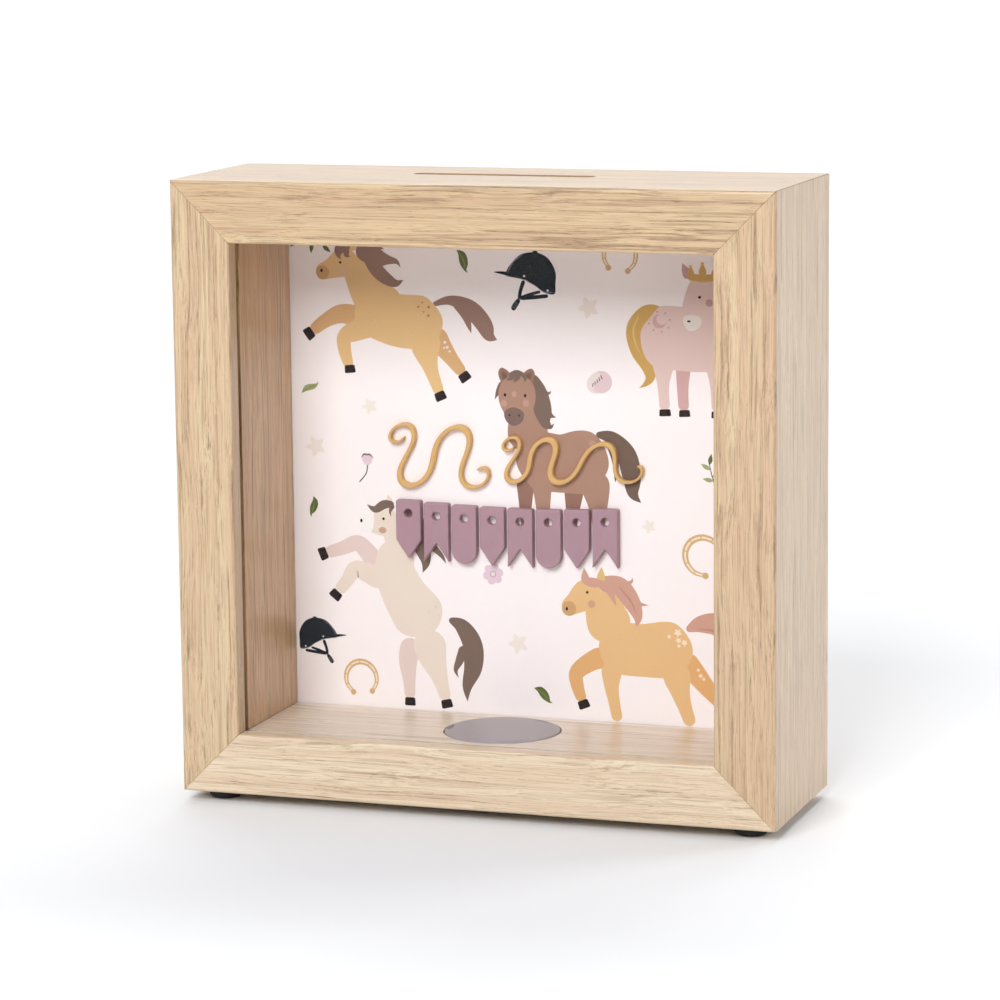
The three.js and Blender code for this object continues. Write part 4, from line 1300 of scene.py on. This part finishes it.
@dataclass
class Swash:
    """A gold line cut from board, thick in the middle and fine at its ends."""

    name: str
    material: Material
    length: float
    waves: float
    swing: float
    fading: float
    curl: float
    tail: float
    width: float = 1.3 * MM
    slant: float = 0.35
    bevel: float = 0.3 * MM
    wave_steps: int = 96
    end_share: float = 0.45
    swell: float = 0.55
    rounding: float = 0.3

    def build(self) -> Piece:
        """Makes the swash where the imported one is.

        The heading of the line swings as a cosine of the distance along it, less and less, with a
        curl added at both ends. Its section is a slab with rounded front edges.

        Returns:
            The piece.
        """
        steps = int(self.wave_steps * self.waves)
        along = np.linspace(0, 1, steps + 1)
        curled = (np.maximum(0, 1 - along / self.tail) ** 2
                  + np.maximum(0, 1 - (1 - along) / self.tail) ** 2)
        swinging = self.swing * np.cos(2 * np.pi * self.waves * along) * (1 - self.fading * along)
        heading = swinging + self.curl * curled
        step = self.length / steps
        x = np.concatenate([[0], np.cumsum(step * np.cos(heading[:-1]))])
        z = np.concatenate([[0], np.cumsum(step * np.sin(heading[:-1]))])
        half = self.width / 2 * (self.end_share + self.swell * np.sin(np.pi * along))
        end = np.minimum(along, 1 - along) * self.length
        short = np.clip(1 - end / (self.rounding * self.width), 0, 1)
        half = half * np.sqrt(1 - short**2) + 0.01 * MM
        low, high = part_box(self.name)
        soft = np.minimum(self.bevel, 0.8 * half)
        front = [(half - soft * (1 - math.cos(turn)), low.y + soft * (1 - math.sin(turn)))
                 for turn in np.linspace(0, np.pi / 2, 4)]
        back = np.full_like(half, high.y)
        section = [(half, back), *front, *((-out, y) for out, y in front[::-1]), (-half, back)]
        rings = []
        for out, y in section:
            px, pz = x - out * np.sin(heading), z + out * np.cos(heading)
            rings.append(np.stack([px + self.slant * pz, y, pz], axis=1))
        surface = np.array(rings).transpose(1, 0, 2)
        flat = surface.reshape(-1, 3)
        shift = np.array([(low.x + high.x) / 2, 0, (low.z + high.z) / 2])
        middle = (flat.min(axis=0) + flat.max(axis=0)) / 2
        surface = surface - np.array([middle[0], 0, middle[2]]) + shift
        shell = Shell()
        shell.add_rings(surface)
        piece = shell.build(self.name + "_painted", self.material, sharp=50)
        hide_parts(self.name)
        return piece


# ---- plug and feet -------------------------------------------------------------------------------

@dataclass
class Plug:
    """The soft plug: a disc in the chamber floor, a hollow skirt and a flange under the base."""

    material: Material
    wall: float = 1.8 * MM
    overhang: float = 2.4 * MM
    flange: float = 1.6 * MM
    edge: float = 0.5 * MM
    soft: float = 0.35 * MM
    axis_hole: float = 0.1 * MM
    dish: float = 0.18 * MM
    notch_depth: float = 0.7 * MM
    notch_width: float = 1.1 * MM
    notch_arc: float = 0.42
    notches: int = 3
    bar_width: float = 3.2 * MM
    bar_height: float = 4.0 * MM
    bar_soft: float = 0.6 * MM
    bar_waist: float = 0.15

    def profile(self, radius: float, length: float) -> np.ndarray:
        """The section from the middle of the underside out and over to the middle of the top.

        Args:
            radius: Radius of the skirt.
            length: Height of the plug.

        Returns:
            Rows of radius and height.
        """
        soft, edge, flange = self.soft, self.edge, self.flange
        bore = radius - self.wall
        rim = radius + self.overhang
        inside = length - self.wall
        under = np.linspace(self.axis_hole, bore - soft, 12)
        side = np.linspace(flange + 2 * soft, length - 1.4 * edge, 10)
        top = np.linspace(radius - 1.2 * edge, self.axis_hole, 60)
        return np.concatenate([
            np.stack([under, np.full(len(under), inside)], axis=1),
            quarter((bore - soft, inside - soft), soft, 0)[::-1],
            quarter((bore + soft, soft), soft, 180),
            quarter((rim - soft, soft), soft, 270),
            quarter((rim - soft, flange - soft), soft, 0),
            np.array([[radius + soft, flange], [radius, flange + soft]]),
            np.stack([np.full(len(side), radius), side], axis=1),
            quarter((radius - edge, length - edge), edge, 0, 8),
            np.stack([top, np.full(len(top), length)], axis=1),
        ])

    def build(self) -> list[Piece]:
        """Makes the plug's body and its pull bar.

        The upper face is lowered by notches: the depth is a smooth bump over the distance from the
        notch's middle radius times a smooth bump over the angle from its middle. The face also
        dishes a little, as the square of the distance from the axis.

        Returns:
            The pieces.
        """
        low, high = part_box("base_plug")
        centre = ((low.x + high.x) / 2, (low.y + high.y) / 2, low.z)
        length = high.z - low.z
        radius = (high.x - low.x) / 2 - self.overhang
        rings = lathe(self.profile(radius, length), centre, 192)
        dx, dy = rings[..., 0] - centre[0], rings[..., 1] - centre[1]
        far, angle = np.hypot(dx, dy), np.arctan2(dy, dx)
        upper = rings[..., 2] > high.z - 0.2 * MM
        track = radius - self.edge - self.notch_width / 2
        across = np.clip(1 - (np.abs(far - track) / (self.notch_width / 2)) ** 3, 0, 1)
        spacing = FULL_TURN / self.notches
        off = (angle - np.pi / 3 + spacing / 2) % spacing - spacing / 2
        around = np.clip(1 - (np.abs(off) / (self.notch_arc / 2)) ** 6, 0, 1)
        dish = self.dish * (1 - (far / radius) ** 2)
        rings[..., 2] -= np.where(upper, self.notch_depth * across * around + dish, 0)
        shell = Shell()
        shell.add_rings(rings)
        body = shell.build("base_plug_body", self.material, sharp=40)
        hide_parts("base_plug")
        return [body, self.pull_bar(centre, radius)]

    def pull_bar(self, centre: Sequence[float], radius: float) -> Piece:
        """Makes the bar across the hollow: a rounded rectangle carried along Y.

        Args:
            centre: Foot of the plug's axis.
            radius: Radius of the skirt.

        Returns:
            The piece.
        """
        soft = self.bar_soft
        low = self.flange / 2
        aside, above, below = self.bar_width / 2 - soft, low + self.bar_height - soft, low + soft
        section = np.concatenate([
            quarter((aside, above), soft, 0), quarter((-aside, above), soft, 90),
            quarter((-aside, below), soft, 180), quarter((aside, below), soft, 270),
        ])
        reach = radius - self.wall / 2
        along = np.linspace(-reach, reach, 9)
        waist = 1 - self.bar_waist * (1 - (along / reach) ** 2)
        x = centre[0] + waist[:, None] * section[:, 0]
        y = centre[1] + along[:, None]
        z = centre[2] + section[:, 1]
        shell = Shell()
        shell.add_rings(np.stack(np.broadcast_arrays(x, y, z), axis=-1))
        return shell.build("base_plug_pull_bar", self.material)


@dataclass
class Feet:
    """Moulded bumper feet with a dished underside and a sticky pad on top."""

    material: Material
    edge: float = 1.1 * MM
    pad_inset: float = 0.12 * MM
    axis_hole: float = 0.05 * MM

    def build(self) -> list[Piece]:
        """Makes the four feet from a profile turned about each foot's axis.

        Returns:
            The pieces.
        """
        made = []
        for name in sorted(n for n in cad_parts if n.startswith("foot_")):
            low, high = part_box(name)
            radius, height = (high.x - low.x) / 2, high.z - low.z
            pad = radius - self.pad_inset
            profile = np.concatenate([
                [[self.axis_hole, 0.12 * MM], [0.4 * radius, 0.1 * MM], [0.6 * radius, 0.02 * MM]],
                quarter((radius - self.edge, self.edge), self.edge, 270, 10),
                [[radius, height - 0.5 * MM], [pad, height - 0.42 * MM]],
                [[pad, height], [self.axis_hole, height]],
            ])
            shell = Shell()
            foot = ((low.x + high.x) / 2, (low.y + high.y) / 2, low.z)
            shell.add_rings(lathe(profile, foot, 64))
            piece = shell.build(name + "_rubber", self.material, sharp=40)
            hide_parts(name)
            made.append(piece)
        return made


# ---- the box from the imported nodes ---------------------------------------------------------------

def within(g: Graph, value: Feed, middle: float, half: float) -> Socket:
    """Returns 1 where a value lies less than half away from the middle."""
    off = g.math("ABSOLUTE", g.math("SUBTRACT", value, middle))
    return g.math("LESS_THAN", off, half)


@dataclass
class Woodwork:
    """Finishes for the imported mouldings, liners, board, steel, pane and card.

    The masks' lengths are millimetres.
    """

    effects: Effects
    slot_half: tuple[float, float] = (23.6, 2.4)
    slot_from_card: float = 11.0
    hole_margin: float = 0.6
    foil_edge: float = 0.12
    back_fade: tuple[float, float] = (0.25, 0.1)

    def bare_back(self, g: Graph, place: Socket) -> Socket:
        """Mask of a moulding's rear edge, where no foil is wrapped.

        Args:
            g: The material's graph.
            place: The piece's own coordinates.

        Returns:
            1 where the board is bare, 0 where the foil is.
        """
        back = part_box("frame_rail_top")[1].y / MM
        y = g.node("ShaderNodeSeparateXYZ", {0: place}).outputs["Y"]
        return g.ramp(y, back - self.back_fade[0], back - self.back_fade[1])

    def bare_slot(self, g: Graph, place: Socket) -> Socket:
        """Mask of the slot's walls below the foil, together with the bare back.

        Args:
            g: The material's graph.
            place: The piece's own coordinates.

        Returns:
            1 where the board is bare, 0 where the foil is.
        """
        axes = g.node("ShaderNodeSeparateXYZ", {0: place}).outputs
        slot_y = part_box("printed_card")[0].y / MM - self.slot_from_card
        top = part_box("frame_rail_top")[1].z / MM
        near = g.math("MULTIPLY", within(g, axes["X"], 0.0, self.slot_half[0]),
                      within(g, axes["Y"], slot_y, self.slot_half[1]))
        below = g.math("LESS_THAN", axes["Z"], top - self.foil_edge)
        return g.math("MAXIMUM", g.math("MULTIPLY", near, below), self.bare_back(g, place))

    def bare_hole(self, g: Graph, place: Socket) -> Socket:
        """Mask of the plug hole's walls above the foil, together with the bare back.

        Args:
            g: The material's graph.
            place: The piece's own coordinates.

        Returns:
            1 where the board is bare, 0 where the foil is.
        """
        axes = g.node("ShaderNodeSeparateXYZ", {0: place}).outputs
        low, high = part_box("base_plug")
        dx = g.math("SUBTRACT", axes["X"], (low.x + high.x) / 2 / MM)
        dy = g.math("SUBTRACT", axes["Y"], (low.y + high.y) / 2 / MM)
        squares = g.math("ADD", g.math("MULTIPLY", dx, dx), g.math("MULTIPLY", dy, dy))
        reach = (high.x - low.x) / 2 / MM + self.hole_margin
        near = g.math("LESS_THAN", g.math("SQRT", squares), reach)
        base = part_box("frame_rail_bottom")[0].z / MM
        above = g.math("GREATER_THAN", axes["Z"], base + self.foil_edge)
        return g.math("MAXIMUM", g.math("MULTIPLY", near, above), self.bare_back(g, place))

    def dress(self) -> None:
        """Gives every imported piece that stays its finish."""
        across, upright = Grain.ALONG_X, Grain.ALONG_Z
        for name, grain, offset, palette, bare in (
            ("frame_rail_top", across, (3.0, 11.0, 5.0), OAK_PLAIN, self.bare_slot),
            # painted light: the bottom rail's palette is painted paler, for the front brightening
            # downwards
            ("frame_rail_bottom", across, (40.0, -7.0, 23.0), OAK_BOTTOM_PAINTED_LIGHT, self.bare_hole),
            # painted light: the stiles' palette is painted lighter than the top rail's
            ("frame_stile_left", upright, (17.0, 31.0, -9.0), OAK_STILE_PAINTED_LIGHT, self.bare_back),
            ("frame_stile_right", upright, (-25.0, 4.0, 37.0), OAK_STILE_PAINTED_LIGHT, self.bare_back),
        ):
            oak = Oak(f"Oak {name}", self.effects, grain, offset, palette, bare=bare)
            self.apply(oak.make(), name)
        for name, grain, palette in (
            # painted light: the floor liner's palette is painted paler than the walls' for the light
            # falling on it
            ("liner_top", across, OAK_WARM), ("liner_bottom", across, OAK_FLOOR_PAINTED_LIGHT),
            ("liner_left", upright, OAK_WARM), ("liner_right", upright, OAK_WARM),
        ):
            oak = Oak(f"Oak {name}", self.effects, grain, (9.0, 2.0, 14.0), palette,
                      streaks=2.0, pores=0.7)
            self.apply(oak.make(), name)
        self.apply(Board("Hardboard", self.effects).make(), "back_board")
        self.apply(Clear("Clear pane").make(), "front_pane")
        card = Matt("Card stock", self.effects, srgb(252, 243, 241), 0.62, 0.025, 0.05, 4.0, 0.02)
        self.apply(card.make(), "printed_card")
        steel = (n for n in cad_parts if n.startswith(("board_tab", "corner_nail")))
        self.apply(Steel("Zinc steel", self.effects).make(), *steel)

    @staticmethod
    def apply(material: Material, *names: str) -> None:
        """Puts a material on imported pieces.

        Args:
            material: The finish.
            *names: Names of the pieces.
        """
        for name in names:
            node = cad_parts[name]
            node.data.materials.clear()
            node.data.materials.append(material)
            LOG.info("%s: %s", name, material.name)


@dataclass
class MitreFiller:
    """Wood filler in the four hairline mitres, flush with the front."""

    material: Material
    thickness: float = 0.15 * MM
    depth: float = 3.0 * MM
    below_face: float = 0.02 * MM
    inner_gap: float = 0.75 * MM
    outer_gap: float = 1.0 * MM
    face_width: float = 15.0 * MM

    def build(self) -> list[Piece]:
        """Makes a strip at each corner: a small rectangle carried along the mitre from the outer
        corner to the window's.

        Returns:
            The pieces.
        """
        low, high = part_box("frame_stile_left")[0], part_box("frame_stile_right")[1]
        front = low.y + self.below_face
        back = front + self.depth
        run = np.linspace(self.outer_gap, self.face_width - self.inner_gap, 24)[:, None]
        made = []
        for name, x, z, aside, up in (
            ("bottom_left", low.x, low.z, 1, 1), ("bottom_right", high.x, low.z, -1, 1),
            ("top_left", low.x, high.z, 1, -1), ("top_right", high.x, high.z, -1, -1),
        ):
            line = np.array([x, z]) + run * np.array([aside, up])
            side = np.array([-up, aside]) / math.sqrt(2) * self.thickness / 2
            edges = ((line + side, front), (line - side, front), (line - side, back),
                     (line + side, back))
            shell = Shell()
            shell.add_rings(np.stack([
                np.stack([flat[:, 0], np.full(len(flat), depth), flat[:, 1]], axis=1)
                for flat, depth in edges
            ], axis=1))
            made.append(shell.build(f"mitre_filler_{name}", self.material))
        return made


# ---- studio --------------------------------------------------------------------------------------

WHITE_LIGHT = (1.0, 1.0, 1.0)
COOL_LIGHT = (0.975, 1.0, 1.045)


@dataclass(frozen=True)
class Lamp:
    """A square softbox that faces a target; its size is its side and its power is in watts."""

    name: str
    place: Point
    target: Point
    size: float
    power: float
    colour: Colour

    def hang(self) -> None:
        """Adds the lamp to the scene."""
        data = bpy.data.lights.new(self.name, "AREA")
        data.shape = "SQUARE"
        data.size = self.size
        data.energy = self.power
        data.color = self.colour
        lamp = bpy.data.objects.new(self.name, data)
        lamp.location = self.place
        aim = Vector(self.target) - Vector(self.place)
        lamp.rotation_euler = aim.to_track_quat("-Z", "Y").to_euler()
        bpy.context.scene.collection.objects.link(lamp)


@dataclass
class Studio:
    """Pale floor, soft lamps and the camera, whose turns are degrees about X, Y and Z."""

    camera_place: Point = (0.3039, -0.8931, 0.2316)
    camera_turn: tuple[float, float, float] = (10.0, 18.56, 2.62)
    focal_share: float = 3.946
    sensor: float = 36.0
    clip: tuple[float, float] = (0.05, 40.0)
    floor_half: float = 12.0
    floor_tone: float = 0.85
    floor_roughness: float = 0.9
    surround: float = 0.22
    lamps: tuple[Lamp, ...] = (
        Lamp("key_lamp", (-0.1, -1.8, 1.26), (0, 0, 0.075), 1.0, 36.0, COOL_LIGHT),
        Lamp("side_lamp", (1.5, 1.4, 0.9), (0, 0, 0.075), 0.9, 19.0, WHITE_LIGHT),
        Lamp("top_lamp", (0.0, -0.2, 2.4), (0, 0, 0), 1.6, 12.0, COOL_LIGHT),
        Lamp("back_lamp", (-1.3, 3.9, 1.2), (0, 0, 0.15), 2.0, 3.0, WHITE_LIGHT),
        Lamp("backdrop_lamp", (-1.6, 5.0, 3.4), (-1.6, 4.6, 0), 6.0, 330.0, WHITE_LIGHT),
    )

    def floor(self) -> None:
        """Lays a wide pale floor."""
        mesh = bpy.data.meshes.new("studio_floor")
        side = self.floor_half
        corners = [(-side, -side, 0), (side, -side, 0), (side, side, 0), (-side, side, 0)]
        mesh.from_pydata(corners, [], [(0, 1, 2, 3)])
        material = bpy.data.materials.new("Studio floor")
        material.use_nodes = True
        inputs = material.node_tree.nodes["Principled BSDF"].inputs
        inputs["Base Color"].default_value = (*(self.floor_tone,) * 3, 1)
        inputs["Roughness"].default_value = self.floor_roughness
        mesh.materials.append(material)
        floor = bpy.data.objects.new("studio_floor", mesh)
        bpy.context.scene.collection.objects.link(floor)

    def light(self) -> None:
        """Hangs the lamps and sets the pale surround."""
        world = bpy.data.worlds.new("Studio surround")
        bpy.context.scene.world = world
        world.use_nodes = True
        inputs = world.node_tree.nodes["Background"].inputs
        inputs["Color"].default_value = (*COOL_LIGHT, 1)
        inputs["Strength"].default_value = self.surround
        for lamp in self.lamps:
            lamp.hang()
        view = bpy.context.scene.view_settings
        view.view_transform = "Standard"
        view.exposure = 0.0

    def camera(self) -> None:
        """Sets the camera at its place, turned about its own axes from looking along +Y."""
        data = bpy.data.cameras.new("camera")
        data.sensor_width = self.sensor
        data.lens = self.focal_share * self.sensor
        data.clip_start, data.clip_end = self.clip
        camera = bpy.data.objects.new("camera", data)
        rx, ry, rz = (Matrix.Rotation(math.radians(angle), 3, axis)
                      for angle, axis in zip(self.camera_turn, "XYZ"))
        turn = rz @ ry @ rx
        upright = Matrix(((1, 0, 0), (0, 0, -1), (0, 1, 0)))
        view = Matrix(((1, 0, 0), (0, -1, 0), (0, 0, -1))) @ turn @ upright
        camera.matrix_world = (Matrix.Translation(self.camera_place)
                               @ view.transposed().to_4x4())
        bpy.context.scene.collection.objects.link(camera)
        bpy.context.scene.camera = camera


def ride(body: str, pieces: Iterable[Piece]) -> None:
    """Puts pieces on a body.

    Args:
        body: The body they move with.
        pieces: The pieces.
    """
    for piece in pieces:
        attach(piece, body)
        LOG.info("%s rides on the %s", piece.name, body)


def main() -> None:
    """Builds the pieces in order and reports each."""
    logging.basicConfig(level=logging.INFO, format="%(message)s")
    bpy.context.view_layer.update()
    studio = Studio()
    studio.camera()
    studio.floor()
    studio.light()
    effects = Effects()
    Woodwork(effects).dress()
    # Name, effects, colour, roughness, cloud strength, clouds and tooth a millimetre, relief.
    gold = Matt("Gold paint", effects, srgb(216, 172, 106), 0.42, 0.08, 0.2, 5.0, 0.03).make()
    mauve = Matt("Mauve paint", effects, srgb(172, 136, 146), 0.5, 0.05, 0.2, 5.0, 0.03).make()
    grey = Matt("Grey rubber", effects, srgb(168, 160, 164), 0.42, 0.06, 0.25, 4.0, 0.03).make()
    black = Matt("Black rubber", effects, srgb(36, 33, 33), 0.6, 0.12, 0.5, 7.0, 0.05).make()
    ink = Matt("Printed ink", effects, None, 0.7, 0.035, 0.12, 5.0, 0.01, gloss=0.1).make()
    filler = Matt("Wood filler", effects, srgb(176, 152, 120), 0.5, 0.1, 0.3, 6.0, 0.02).make()
    low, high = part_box("printed_card")
    middle = ((low.x + high.x) / 2, (low.z + high.z) / 2)
    chamber_half = abs(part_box("liner_left")[1].x)
    ride("box", PrintedCard(ink, low.y, middle, chamber_half).build())
    ride("box", [
        Swash("swash_left", gold, 78 * MM, 2, 1.9, 0.2, 2.5, 0.12).build(),
        Swash("swash_right", gold, 84 * MM, 3, 2.1, 0.5, 2.2, 0.08).build(),
    ])
    ride("box", MitreFiller(filler).build())
    ride("box", Bunting(mauve).build())
    ride("box", Feet(black).build())
    ride("plug", Plug(grey).build())


if __name__ == "__main__":
    main()
